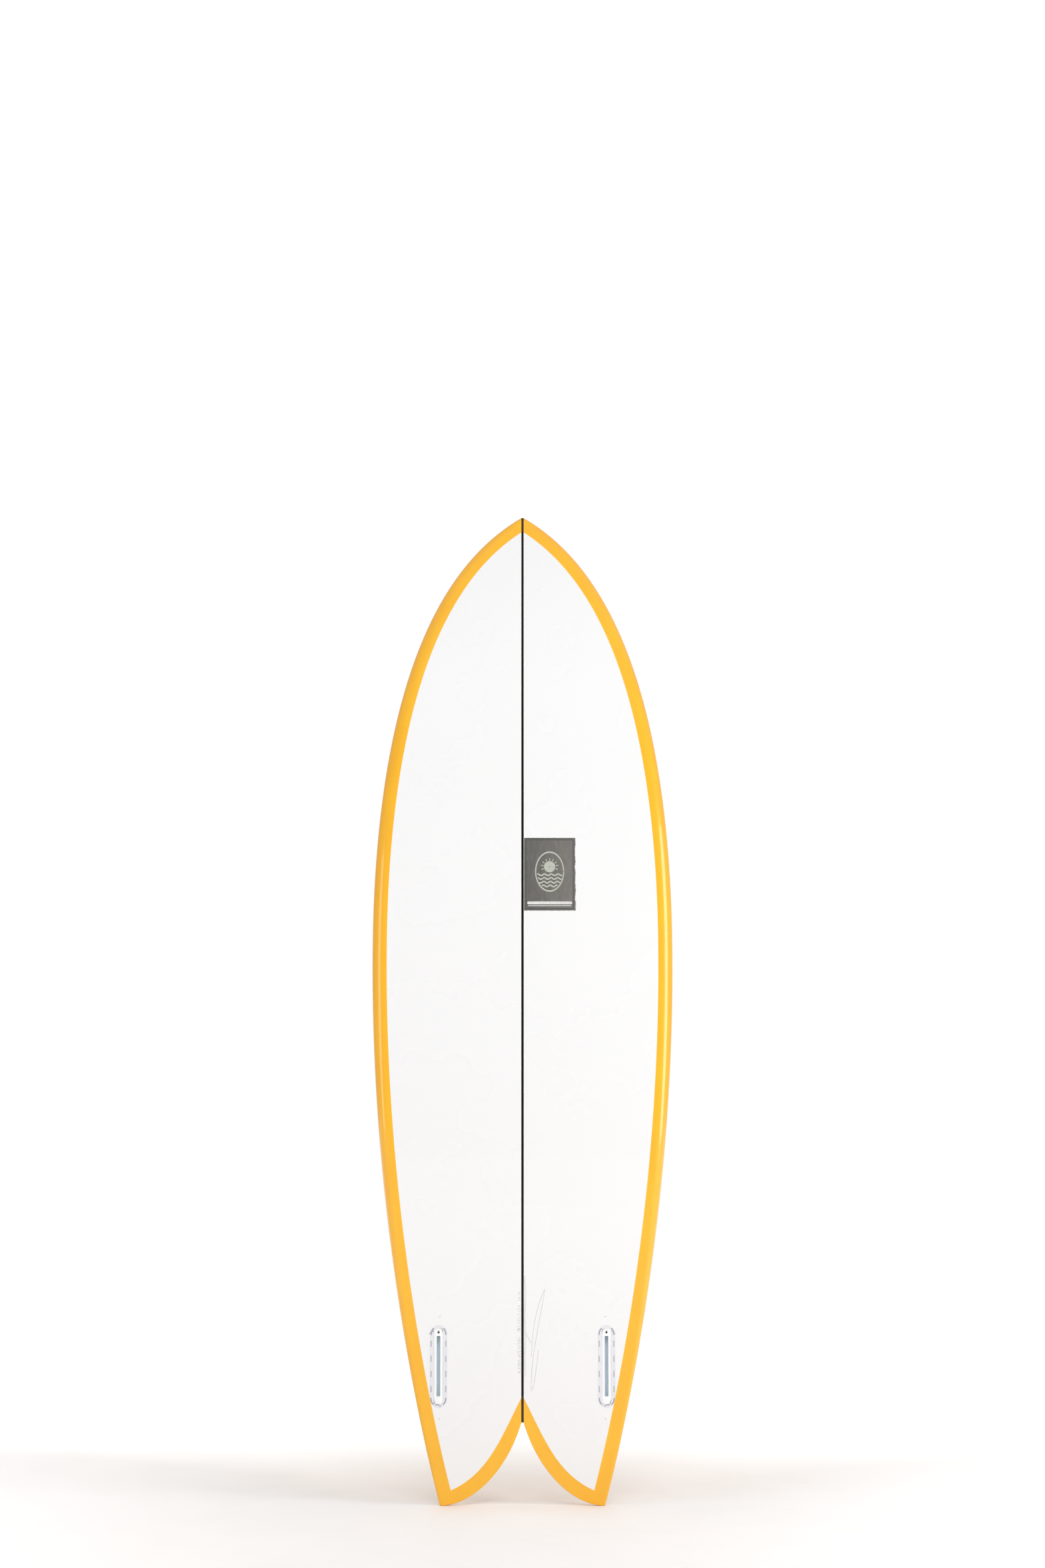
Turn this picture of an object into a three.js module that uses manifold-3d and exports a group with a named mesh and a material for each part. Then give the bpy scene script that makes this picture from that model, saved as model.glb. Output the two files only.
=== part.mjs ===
// Twin-keel fish surfboard, standing on its two tail tips with the nose up.
// Sizes are in millimetres. X runs across the board, Y from the bottom to the deck, Z from tail to nose.
// A height is measured along Z from the tail tips, and a half width from the stringer's middle.
import * as THREE from 'three';
import { mergeVertices } from 'three/addons/utils/BufferGeometryUtils.js';
import Module from 'manifold-3d';

const wasm = await Module();
wasm.setup();

// Outline of the board, seen square to its bottom.
const LENGTH = 1854;
const WIDTH = 558;
const WIDE_POINT = 1000; // height of the widest place
const NOSE_RADIUS = 6;
const NOSE_HALF_ANGLE = 57; // degrees from the stringer to the rail at the nose
const NOSE_REACH = 272; // how strongly the rail keeps its direction as it leaves the nose
const NOSE_FULLNESS = 307; // how long the rail stays parallel ahead of the wide point
const TAIL_FULLNESS = 486; // the same, behind the wide point
const TAIL_REACH = 112; // how strongly the rail keeps its direction into the tail tip
const TAIL_RAIL_ANGLE = 15.3; // degrees from the stringer to the rail at the tail tip
const TAIL_SPREAD = 296; // between the outer corners of the two tail tips

// Swallow tail: the notch between the two tips.
const NOTCH_HEIGHT = 145.7;
const NOTCH_RADIUS = 2.5;
const NOTCH_HALF_ANGLE = 17; // degrees from the stringer to the notch's edge at its top
const NOTCH_TOP_REACH = 78;
const NOTCH_FOOT_REACH = 62;
const NOTCH_FOOT_ANGLE = 5; // degrees from level where the notch's edge meets the foot
const TIP_LAND = 6; // level foot of each tail tip

// Rocker, foil and rails.
const NOSE_ROCKER = 112;
const TAIL_ROCKER = 46;
const FLAT_POINT = 853; // the bottom line is level from here to the wide point
const NOSE_ROCKER_POWER = 2.3;
const TAIL_ROCKER_POWER = 2.3;
const THICKNESS = 69;
const THICK_POINT = 927;
const NOSE_THICKNESS = 11;
const TAIL_THICKNESS = 14;
const NOSE_FOIL_POWER = 1.9;
const TAIL_FOIL_POWER = 2.2;
const NOSE_ROUNDING = 14; // length over which the nose closes
const RAIL_LINE = { tail: 0.25, middle: 0.38, nose: 0.5 }; // height of the rail's edge, over the thickness
const RAIL_TUCK = { tail: 5, middle: 26, nose: 22 }; // width of the curve from the flat bottom to the rail
const DECK_SHOULDER = 2.5; // power of the deck's dome across the board
const TAIL_OVERRUN = 12; // blank left past the tips, trimmed by the notch cut

// Glass, lap and core.
const SKIN = 0.7; // thickness of the glass and its coats
const GAP = 0.3; // left between pieces that touch
const BAND_WIDTH = { tail: 26, middle: 28.4, nose: 28 }; // coloured band on the bottom, in from the rail
const BAND_NOTCH_HEIGHT = 193; // height of the band's point above the notch
const BAND_NOTCH_HALF_ANGLE = 28; // degrees from the stringer to the band's edge at that point
const BAND_NOTCH_REACH = 78;
const BAND_CORNER_IN = 19; // the band's inner corner in each tip, in from the tip's outer corner
const BAND_CORNER_UP = 27; // and above its foot
const BAND_CORNER_REACH = 76;
const BAND_CORNER_ANGLE = 23.5; // degrees from level where the band's edge meets that corner
const STRINGER = 4;

// Label under the glass, beside the stringer.
const LABEL_WIDTH = 94.3;
const LABEL_HEIGHT = 136.7;
const LABEL_FOOT = 1064; // height of its lower edge
const LABEL_FROM_STRINGER = 1.7;
const LABEL_THICKNESS = 0.3;

// Keel fin boxes, set in the bottom. The boss stands round the slot, and the flange round the boss.
const BOX_SPREAD = 302; // between the two slots
const BOX_HEIGHT = 244; // height of the slot's middle
const SLOT_WIDTH = 6.4;
const SLOT_LENGTH = 107;
const SLOT_DEPTH = 14.5;
const BOSS_SIDE_WALL = 4.85;
const BOSS_END_WALL = 12.8;
const BOSS_FLOOR = 2.5;
const BOSS_CORNER = 3.5;
const FLANGE_SIDE = 8.8; // how far it stands out from the boss's side
const FLANGE_END = 7.35; // and from the boss's end
const FLANGE_DROP = 1.2; // below the boss's face
const FLANGE_THICKNESS = 1.8;
const KEY_SLOT_WIDTH = 2.3; // resin keys through the flange
const KEY_SLOT_LENGTH = 11.4;
const KEY_SLOT_ROWS = 4;
const KEY_FROM_BOSS = 5.15; // middle of a key from the boss's side
const CORNER_KEY_LENGTH = 9;
const BEDDING = 1.5; // cured resin round a box or plug

// Grub screw that locks the fin's tab, set in from the face at a slant.
const SCREW_DIAMETER = 3.8;
const SCREW_LENGTH = 8;
const SCREW_SLANT = 40; // degrees from square to the face
const SCREW_DEPTH = 2.2; // its head below the face, along the hole
const SCREW_FROM_SLOT = 7.3; // hole's mouth from the end of the slot
const SCREW_CHAMFER = 0.4;
const SCREW_SOCKET = 2; // across the flats
const SCREW_SOCKET_DEPTH = 2.5;

// Leash plug, set in the deck. The plug's wall and floor stand round the cup.
const PLUG_ABOVE_NOTCH = 95;
const PLUG_OFF_CENTRE = 34;
const CUP_DIAMETER = 22.4;
const CUP_DEPTH = 14.5;
const CUP_WALL = 3.1;
const CUP_FLOOR = 3.5;
const CUP_LIP = 1.2;
const BAR_DIAMETER = 4.5;
const BAR_BITE = 2; // how far each end goes into the cup's wall
const BAR_DEPTH = 5.4; // its middle below the rim

const BOSS_WIDTH = SLOT_WIDTH + 2 * BOSS_SIDE_WALL;
const BOSS_LENGTH = SLOT_LENGTH + 2 * BOSS_END_WALL;
const BOX_DEPTH = SLOT_DEPTH + BOSS_FLOOR;
const FLANGE_WIDTH = BOSS_WIDTH + 2 * FLANGE_SIDE;
const FLANGE_LENGTH = BOSS_LENGTH + 2 * FLANGE_END;
const KEY_LINE = BOSS_WIDTH / 2 + KEY_FROM_BOSS;
const KEY_SLOT_PITCH = BOSS_LENGTH / (KEY_SLOT_ROWS + 1);
const PLUG_DIAMETER = CUP_DIAMETER + 2 * CUP_WALL;
const PLUG_DEPTH = CUP_DEPTH + CUP_FLOOR;
const BAR_LENGTH = CUP_DIAMETER + 2 * BAR_BITE;

const { degToRad, lerp, smoothstep, clamp } = THREE.MathUtils;
const OUTSIDE = 60; // reach of a cut past the surface that it opens
const PARTING = GAP / 2; // each of two skins that meet edge to edge gives up half the gap
const CORE_INSET = SKIN + GAP;

// How finely the board is divided: stations along it, and steps across its rail and half its deck.
const NOSE_STEPS = 17;
const TAIL_STEPS = 13;
const TUCK_STEPS = 3;
const DECK_STEPS = 6;
const NOTCH_STEPS = 12;
const BAND_STEPS = 9;

// Turns a closed three.js geometry into a solid for joining and cutting.
function solid(geometry, matrix = new THREE.Matrix4()) {
  const plain = geometry.clone().applyMatrix4(matrix);
  plain.deleteAttribute('normal');
  plain.deleteAttribute('uv');
  const merged = mergeVertices(plain, 1e-4);
  const corners = merged.index.array;
  const kept = [];
  for (let i = 0; i < corners.length; i += 3) {
    const [a, b, c] = corners.slice(i, i + 3);
    if (a !== b && b !== c && c !== a) {
      kept.push(a, b, c);
    }
  }
  return new wasm.Manifold(
    new wasm.Mesh({
      numProp: 3,
      vertProperties: new Float32Array(merged.attributes.position.array),
      triVerts: new Uint32Array(kept),
    }),
  );
}

// Makes a named mesh from a solid.
function piece(name, shape, look) {
  const mesh = shape.getMesh();
  const geometry = new THREE.BufferGeometry();
  geometry.setAttribute('position', new THREE.BufferAttribute(mesh.vertProperties, 3));
  geometry.setIndex(new THREE.BufferAttribute(mesh.triVerts, 1));
  geometry.computeVertexNormals();
  const made = new THREE.Mesh(geometry, new THREE.MeshStandardMaterial(look));
  made.name = name;
  return made;
}

// Extrudes an outline drawn in X and Z from one Y to another.
function plate(shape, lowY, highY, curveSegments = 5) {
  const geometry = new THREE.ExtrudeGeometry(shape, {
    depth: highY - lowY,
    bevelEnabled: false,
    curveSegments,
  });
  geometry.rotateX(Math.PI / 2);
  return geometry.translate(0, highY, 0);
}

// An oblong outline with rounded corners, its length along Z.
function oblong(width, length, radius) {
  const across = width / 2 - radius;
  const along = length / 2 - radius;
  const quarter = Math.PI / 2;
  const shape = new THREE.Shape();
  shape.absarc(across, along, radius, 0, quarter);
  shape.absarc(-across, along, radius, quarter, 2 * quarter);
  shape.absarc(-across, -along, radius, 2 * quarter, 3 * quarter);
  shape.absarc(across, -along, radius, 3 * quarter, 4 * quarter);
  shape.closePath();
  return shape;
}

// The same with fully round ends.
function stadium(width, length) {
  return oblong(width, length, width / 2);
}

// ---- Shape of the board ----

// A value that goes smoothly from the tail tips to the wide point and on to the nose.
function alongBoard(values, z) {
  if (z < WIDE_POINT) {
    return lerp(values.tail, values.middle, smoothstep(z, 0, WIDE_POINT));
  }
  return lerp(values.middle, values.nose, smoothstep(z, WIDE_POINT, LENGTH));
}

function bottomLine(z) {
  const towardNose = clamp((z - WIDE_POINT) / (LENGTH - WIDE_POINT), 0, 1);
  const towardTail = clamp((FLAT_POINT - z) / FLAT_POINT, 0, 1);
  return NOSE_ROCKER * towardNose ** NOSE_ROCKER_POWER + TAIL_ROCKER * towardTail ** TAIL_ROCKER_POWER;
}

function boardThickness(z) {
  if (z < THICK_POINT) {
    const thinning = (1 - clamp(z / THICK_POINT, 0, 1)) ** TAIL_FOIL_POWER;
    return lerp(THICKNESS, TAIL_THICKNESS, thinning);
  }
  const thinning = (1 - clamp((LENGTH - z) / (LENGTH - THICK_POINT), 0, 1)) ** NOSE_FOIL_POWER;
  return lerp(THICKNESS, NOSE_THICKNESS, thinning);
}

// The rail in plan as stations from the nose to past the tail, each with its place and outward direction.
function railStations() {
  const slant = degToRad(NOSE_HALF_ANGLE);
  const noseCentre = new THREE.Vector2(0, LENGTH - NOSE_RADIUS);
  const onNose = (angle) => {
    const out = new THREE.Vector2(Math.cos(angle), Math.sin(angle));
    return { at: out.clone().multiplyScalar(NOSE_RADIUS).add(noseCentre), out };
  };
  const start = onNose(slant).at;
  const wide = new THREE.Vector2(WIDTH / 2, WIDE_POINT);
  const tip = new THREE.Vector2(TAIL_SPREAD / 2, 0);
  const run = degToRad(TAIL_RAIL_ANGLE);
  const intoTip = new THREE.Vector2(-Math.sin(run), -Math.cos(run));
  const noseRail = new THREE.CubicBezierCurve(
    start,
    new THREE.Vector2(start.x + NOSE_REACH * Math.sin(slant), start.y - NOSE_REACH * Math.cos(slant)),
    new THREE.Vector2(wide.x, wide.y + NOSE_FULLNESS),
    wide,
  );
  const tailRail = new THREE.CubicBezierCurve(
    wide,
    new THREE.Vector2(wide.x, wide.y - TAIL_FULLNESS),
    tip.clone().addScaledVector(intoTip, -TAIL_REACH),
    tip,
  );
  const stations = [onNose(Math.PI / 2), onNose((Math.PI / 2 + slant) / 2)];
  const follow = (curve, first, count) => {
    for (let i = first; i <= count; i += 1) {
      const way = curve.getTangent(i / count);
      stations.push({ at: curve.getPoint(i / count), out: new THREE.Vector2(-way.y, way.x) });
    }
  };
  follow(noseRail, 0, NOSE_STEPS);
  follow(tailRail, 1, TAIL_STEPS);
  const last = stations.at(-1);
  stations.push({ at: last.at.clone().addScaledVector(intoTip, TAIL_OVERRUN), out: last.out });
  return stations;
}

const STATIONS = railStations();

// Half of a cross-section from the bottom's middle to the deck's middle, inset by a distance all round.
function halfSection(station, inset) {
  const z = station.at.y - inset * station.out.y;
  const half = station.at.x - inset * station.out.x;
  const thickness = boardThickness(z);
  const share = alongBoard(RAIL_LINE, z);
  const fromNose = clamp((LENGTH - station.at.y) / NOSE_ROUNDING, 0, 1);
  const closing = Math.sqrt(1 - (1 - fromNose) ** 2);
  const railLine = bottomLine(z) + share * thickness;
  const below = closing * (share * thickness - inset);
  const above = closing * ((1 - share) * thickness - inset);
  const tuck = Math.min(alongBoard(RAIL_TUCK, z), 0.6 * station.at.x) - inset;
  const points = [new THREE.Vector3(0, railLine - below, z)];
  for (let i = 0; i < TUCK_STEPS; i += 1) {
    const turn = (Math.PI / 2) * (i / TUCK_STEPS);
    const across = half - tuck * (1 - Math.sin(turn));
    points.push(new THREE.Vector3(across, railLine - below * Math.cos(turn), z));
  }
  for (let i = 0; i <= DECK_STEPS; i += 1) {
    const turn = (Math.PI / 2) * (i / DECK_STEPS);
    const across = half * Math.max(Math.cos(turn), 0) ** (2 / DECK_SHOULDER);
    points.push(new THREE.Vector3(i === DECK_STEPS ? 0 : across, railLine + above * Math.sin(turn), z));
  }
  return points;
}

// Closes rings of points into a body. The first and last rings are drawn together to a point.
function loft(rings, firstPoint, lastPoint) {
  const size = rings[0].length;
  const positions = [firstPoint, ...rings.flat(), lastPoint].flatMap((p) => [p.x, p.y, p.z]);
  const index = [];
  const corner = (ring, i) => 1 + ring * size + (i % size);
  const end = 1 + rings.length * size;
  for (let i = 0; i < size; i += 1) {
    index.push(corner(0, i), corner(0, i + 1), 0);
    index.push(corner(rings.length - 1, i + 1), corner(rings.length - 1, i), end);
  }
  for (let ring = 1; ring < rings.length; ring += 1) {
    for (let i = 0; i < size; i += 1) {
      index.push(corner(ring, i), corner(ring, i + 1), corner(ring - 1, i));
      index.push(corner(ring, i + 1), corner(ring - 1, i + 1), corner(ring - 1, i));
    }
  }
  const geometry = new THREE.BufferGeometry();
  geometry.setAttribute('position', new THREE.Float32BufferAttribute(positions, 3));
  geometry.setIndex(index);
  return solid(geometry);
}

// Mirrors a half section in the stringer, so that it goes right round the board.
function wholeSection(half) {
  const mirrored = half.slice(1, -1).reverse();
  return [...half, ...mirrored.map((p) => new THREE.Vector3(-p.x, p.y, p.z))];
}

// A curved edge on the +X side of the stringer, from a point near it out to a corner of the tail tip.
function swallowEdge(top, corner) {
  const slant = degToRad(top.angle);
  const level = degToRad(corner.angle);
  const leaving = new THREE.Vector2(Math.sin(slant), -Math.cos(slant)).multiplyScalar(top.reach);
  const arriving = new THREE.Vector2(-Math.cos(level), Math.sin(level)).multiplyScalar(corner.reach);
  return new THREE.CubicBezierCurve(top.at, leaving.add(top.at), arriving.add(corner.at), corner.at);
}

// Points along such an edge, moved into the board by a distance.
function alongEdge(edge, steps, inset) {
  const points = [];
  for (let i = 0; i <= steps; i += 1) {
    const way = edge.getTangent(i / steps);
    points.push(edge.getPoint(i / steps).add(new THREE.Vector2(-way.y, way.x).multiplyScalar(inset)));
  }
  return points;
}

// Cuts away everything below an edge: its points run from the stringer outward, and it goes on level.
function swallowCut(edge) {
  const beyond = TAIL_SPREAD / 2 + OUTSIDE;
  const right = [...edge, new THREE.Vector2(beyond, edge.at(-1).y), new THREE.Vector2(beyond, -OUTSIDE)];
  const left = right.slice(1).reverse().map((p) => new THREE.Vector2(-p.x, p.y));
  return solid(plate(new THREE.Shape([...right, ...left]), -OUTSIDE, TAIL_ROCKER + THICKNESS + OUTSIDE));
}

// The cut that makes the swallow tail and trims the foot, moved into the board by a distance.
function notchCut(inset) {
  const slant = degToRad(NOTCH_HALF_ANGLE);
  const centre = new THREE.Vector2(0, NOTCH_HEIGHT - NOTCH_RADIUS);
  const outward = new THREE.Vector2(Math.cos(slant), Math.sin(slant));
  const start = outward.multiplyScalar(NOTCH_RADIUS).add(centre);
  const foot = new THREE.Vector2(TAIL_SPREAD / 2 - TIP_LAND, 0);
  const edge = swallowEdge(
    { at: start, angle: NOTCH_HALF_ANGLE, reach: NOTCH_TOP_REACH },
    { at: foot, angle: NOTCH_FOOT_ANGLE, reach: NOTCH_FOOT_REACH },
  );
  const reach = NOTCH_RADIUS + inset;
  const top = [90, 66, 42].map((angle) => {
    const turn = degToRad(angle);
    return new THREE.Vector2(angle < 90 ? reach * Math.cos(turn) : 0, centre.y + reach * Math.sin(turn));
  });
  return swallowCut([...top, ...alongEdge(edge, NOTCH_STEPS, inset)]);
}

// The cut along the band's edge over the notch, moved up by a distance. The band ends in a sharp point.
function bandCut(inset) {
  const rise = inset / Math.sin(degToRad(BAND_NOTCH_HALF_ANGLE));
  const edge = swallowEdge(
    { at: new THREE.Vector2(0, BAND_NOTCH_HEIGHT), angle: BAND_NOTCH_HALF_ANGLE, reach: BAND_NOTCH_REACH },
    {
      at: new THREE.Vector2(TAIL_SPREAD / 2 - BAND_CORNER_IN, BAND_CORNER_UP),
      angle: BAND_CORNER_ANGLE,
      reach: BAND_CORNER_REACH,
    },
  );
  const point = new THREE.Vector2(0, BAND_NOTCH_HEIGHT + rise);
  return swallowCut([point, ...alongEdge(edge, BAND_STEPS, inset).slice(1)]);
}

// The whole board, or a copy that is smaller all round by the inset.
function boardBody(inset) {
  const sections = STATIONS.map((station) => wholeSection(halfSection(station, inset)));
  const nose = sections[0][0];
  const behind = new THREE.Vector3(0, sections.at(-1)[0].y + 1, sections.at(-1)[0].z);
  return loft(sections.slice(1), nose, behind).subtract(notchCut(inset));
}

// The space over the bottom inside the coloured band, up to the middle of the board's thickness.
function bottomField(extra) {
  const half = STATIONS.map((station) => {
    const width = alongBoard(BAND_WIDTH, clamp(station.at.y, 0, LENGTH)) + extra;
    return station.at.clone().addScaledVector(station.out, -width);
  });
  const first = half.findIndex((p) => p.x > 0);
  const before = half[first - 1];
  const after = half[first];
  const apex = lerp(before.y, after.y, -before.x / (after.x - before.x));
  const height = (z) => ({ low: bottomLine(z) - OUTSIDE, high: bottomLine(z) + boardThickness(z) / 2 });
  const rings = half.slice(first).map(({ x, y: z }) => {
    const { low, high } = height(z);
    const corners = [[x, low], [x, high], [-x, high], [-x, low]];
    return corners.map(([across, up]) => new THREE.Vector3(across, up, z));
  });
  const point = (z) => new THREE.Vector3(0, bottomLine(z), z);
  return loft(rings, point(apex), point(rings.at(-1)[0].z - 1)).subtract(bandCut(extra));
}

// ---- Places of the fittings ----

// Where a fin box sits: square to the bottom, its face level with the bottom at the boss's two ends.
function boxPlace(side) {
  const ahead = BOX_HEIGHT + BOSS_LENGTH / 2;
  const behind = BOX_HEIGHT - BOSS_LENGTH / 2;
  const rise = bottomLine(ahead) - bottomLine(behind);
  const place = new THREE.Object3D();
  place.position.set((side * BOX_SPREAD) / 2, (bottomLine(ahead) + bottomLine(behind)) / 2, BOX_HEIGHT);
  place.rotation.x = -Math.atan2(rise, BOSS_LENGTH);
  place.updateMatrix();
  return place;
}

// Where the leash plug sits: its rim level with the deck and square to it along the board.
function plugPlace() {
  const z = NOTCH_HEIGHT + PLUG_ABOVE_NOTCH;
  const deck = (at) => bottomLine(at) + boardThickness(at);
  const rise = deck(z + PLUG_DIAMETER / 2) - deck(z - PLUG_DIAMETER / 2);
  const place = new THREE.Object3D();
  place.position.set(-PLUG_OFF_CENTRE, deck(z), z);
  place.rotation.x = -Math.atan2(rise, PLUG_DIAMETER);
  place.updateMatrix();
  return place;
}

// ---- Fin box, its screw and its bedding. Y = 0 is the face, and Y grows into the board ----

const SCREW_TILT = degToRad(SCREW_SLANT);
const HOLE_DIAMETER = SCREW_DIAMETER + 2 * GAP;
const HOLE_MOUTH = SLOT_LENGTH / 2 + SCREW_FROM_SLOT;
const INTO_BOX = new THREE.Vector3(0, Math.cos(SCREW_TILT), -Math.sin(SCREW_TILT));

// Places something made along Y in the slanted hole, its middle a distance in from the mouth.
function inScrewHole(distance) {
  const place = new THREE.Object3D();
  place.position.set(0, 0, HOLE_MOUTH).addScaledVector(INTO_BOX, distance);
  place.rotation.x = -SCREW_TILT;
  place.updateMatrix();
  return place;
}

function keySlots() {
  const slots = [];
  const key = (length) => stadium(KEY_SLOT_WIDTH, length);
  const low = FLANGE_DROP - 1;
  const high = FLANGE_DROP + FLANGE_THICKNESS + 1;
  for (let row = 0; row < KEY_SLOT_ROWS; row += 1) {
    const z = (row - (KEY_SLOT_ROWS - 1) / 2) * KEY_SLOT_PITCH;
    for (const x of [-KEY_LINE, KEY_LINE]) {
      slots.push(plate(key(KEY_SLOT_LENGTH), low, high, 1).translate(x, 0, z));
    }
  }
  const turnCentre = FLANGE_LENGTH / 2 - FLANGE_WIDTH / 2;
  for (const end of [-1, 1]) {
    for (const side of [-1, 1]) {
      const corner = plate(key(CORNER_KEY_LENGTH), low, high, 1).rotateY((-side * end * Math.PI) / 4);
      const reach = KEY_LINE * Math.SQRT1_2;
      slots.push(corner.translate(side * reach, 0, end * (turnCentre + reach)));
    }
  }
  return slots.map((slot) => solid(slot));
}

function finBox() {
  const boss = solid(plate(oblong(BOSS_WIDTH, BOSS_LENGTH, BOSS_CORNER), 0, BOX_DEPTH));
  const flangeFoot = FLANGE_DROP + FLANGE_THICKNESS;
  const flange = solid(plate(stadium(FLANGE_WIDTH, FLANGE_LENGTH), FLANGE_DROP, flangeFoot));
  const slot = new THREE.BoxGeometry(SLOT_WIDTH, 2 * SLOT_DEPTH, SLOT_LENGTH);
  const throughSlot = SCREW_FROM_SLOT / Math.sin(SCREW_TILT) + HOLE_DIAMETER / 2;
  const hole = new THREE.CylinderGeometry(HOLE_DIAMETER / 2, HOLE_DIAMETER / 2, 2 * throughSlot, 16);
  let box = boss.add(flange).subtract(solid(slot)).subtract(solid(hole, inScrewHole(0).matrix));
  for (const key of keySlots()) {
    box = box.subtract(key);
  }
  return box;
}

// A fin box's outer form grown by a margin, open past the bottom of the board.
function boxForm(margin) {
  const boss = oblong(BOSS_WIDTH + 2 * margin, BOSS_LENGTH + 2 * margin, BOSS_CORNER + margin);
  const flange = stadium(FLANGE_WIDTH + 2 * margin, FLANGE_LENGTH + 2 * margin);
  const flangeFoot = FLANGE_DROP + FLANGE_THICKNESS + margin;
  return solid(plate(boss, -OUTSIDE, BOX_DEPTH + margin)).add(solid(plate(flange, -OUTSIDE, flangeFoot)));
}

function grubScrew() {
  const radius = SCREW_DIAMETER / 2;
  const profile = [
    new THREE.Vector2(0, -SCREW_LENGTH / 2),
    new THREE.Vector2(radius - SCREW_CHAMFER, -SCREW_LENGTH / 2),
    new THREE.Vector2(radius, -SCREW_LENGTH / 2 + SCREW_CHAMFER),
    new THREE.Vector2(radius, SCREW_LENGTH / 2 - SCREW_CHAMFER),
    new THREE.Vector2(radius - SCREW_CHAMFER, SCREW_LENGTH / 2),
    new THREE.Vector2(0, SCREW_LENGTH / 2),
  ];
  const body = solid(new THREE.LatheGeometry(profile, 16));
  const socketRadius = SCREW_SOCKET / 2 / Math.cos(Math.PI / 6);
  const socket = new THREE.CylinderGeometry(socketRadius, socketRadius, 2 * SCREW_SOCKET_DEPTH, 6);
  return body.subtract(solid(socket.translate(0, -SCREW_LENGTH / 2, 0)));
}

// ---- Leash plug. Y = 0 is the rim, and Y grows out of the deck ----

// The plug's outer form grown by a margin, and reaching up past its rim.
function plugForm(margin, above) {
  const radius = PLUG_DIAMETER / 2 + margin;
  const depth = PLUG_DEPTH + margin;
  const geometry = new THREE.CylinderGeometry(radius, radius, depth + above, 24);
  return geometry.translate(0, (above - depth) / 2, 0);
}

function barGeometry(diameter, length) {
  const geometry = new THREE.CylinderGeometry(diameter / 2, diameter / 2, length, 12);
  return geometry.rotateZ(Math.PI / 2).translate(0, -BAR_DEPTH, 0);
}

function leashCup() {
  const inner = CUP_DIAMETER / 2;
  const profile = [
    new THREE.Vector2(0, -PLUG_DEPTH),
    new THREE.Vector2(PLUG_DIAMETER / 2, -PLUG_DEPTH),
    new THREE.Vector2(PLUG_DIAMETER / 2, 0),
    new THREE.Vector2(inner + CUP_LIP, 0),
    new THREE.Vector2(inner, -CUP_LIP),
    new THREE.Vector2(inner, -0.75 * CUP_DEPTH),
    new THREE.Vector2(0.8 * inner, -CUP_DEPTH),
    new THREE.Vector2(0, -CUP_DEPTH),
  ];
  const cup = solid(new THREE.LatheGeometry(profile, 24));
  return cup.subtract(solid(barGeometry(BAR_DIAMETER + 2 * GAP, 2 * PLUG_DIAMETER)));
}

// ---- Assembly ----

const WHITE_GLASS = { color: 0xf4f4f2, roughness: 0.22, metalness: 0 };
const ORANGE_GLASS = { color: 0xf2a02c, roughness: 0.2, metalness: 0 };
const FOAM = { color: 0xfbfaf4, roughness: 0.95, metalness: 0 };
const BLACK_WOOD = { color: 0x1a1715, roughness: 0.8, metalness: 0 };
const GREY_CLOTH = { color: 0x5d5b57, roughness: 0.85, metalness: 0 };
const BOX_PLASTIC = { color: 0xeef0f2, roughness: 0.4, metalness: 0 };
const RESIN = { color: 0xe6e4da, roughness: 0.3, metalness: 0 };
const STEEL = { color: 0xb9bcc0, roughness: 0.3, metalness: 1 };

const outer = boardBody(0);
const skinInside = boardBody(SKIN);
const core = boardBody(CORE_INSET);
const skin = outer.subtract(skinInside);

const boxes = [
  { side: -1, end: 'left' },
  { side: 1, end: 'right' },
].map((box) => ({ ...box, place: boxPlace(box.side) }));
const plug = plugPlace();

// Moves a solid made about a fitting's own centre to the fitting's place in the board.
function placed(shape, place) {
  const mesh = shape.getMesh();
  const geometry = new THREE.BufferGeometry();
  geometry.setAttribute('position', new THREE.BufferAttribute(mesh.vertProperties, 3));
  geometry.setIndex(new THREE.BufferAttribute(mesh.triVerts, 1));
  return solid(geometry, place.matrix);
}

// Glass: the bottom sheet inside the band, and the deck sheet that wraps the rails as the band.
let bottomLaminate = skin.intersect(bottomField(PARTING));
let deckLaminate = skin.subtract(bottomField(-PARTING));
const bossWindow = solid(
  plate(oblong(BOSS_WIDTH + 2 * GAP, BOSS_LENGTH + 2 * GAP, BOSS_CORNER + GAP), -OUTSIDE, BOX_DEPTH / 2),
);
for (const { place } of boxes) {
  const window = placed(bossWindow, place);
  bottomLaminate = bottomLaminate.subtract(window);
  deckLaminate = deckLaminate.subtract(window);
}
deckLaminate = deckLaminate.subtract(solid(plugForm(GAP, OUTSIDE), plug.matrix));

// Stringer: the middle slice of the core.
function slice(thickness) {
  const reach = 2 * LENGTH;
  return solid(new THREE.BoxGeometry(thickness, reach, 2 * reach));
}
const stringer = core.intersect(slice(STRINGER));

// Label: a sheet that follows the bottom, in a recess of the core.
function labelField(margin) {
  const left = STRINGER / 2 + LABEL_FROM_STRINGER;
  const high = THICKNESS / 2;
  const width = LABEL_WIDTH + 2 * margin;
  const box = new THREE.BoxGeometry(width, OUTSIDE + high, LABEL_HEIGHT + 2 * margin);
  const middle = (high - OUTSIDE) / 2;
  return solid(box.translate(left + LABEL_WIDTH / 2, middle, LABEL_FOOT + LABEL_HEIGHT / 2));
}
const labelInside = CORE_INSET + LABEL_THICKNESS;
const label = core.intersect(labelField(0)).subtract(boardBody(labelInside));
const labelRecess = labelField(GAP).subtract(boardBody(labelInside + GAP));

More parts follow.
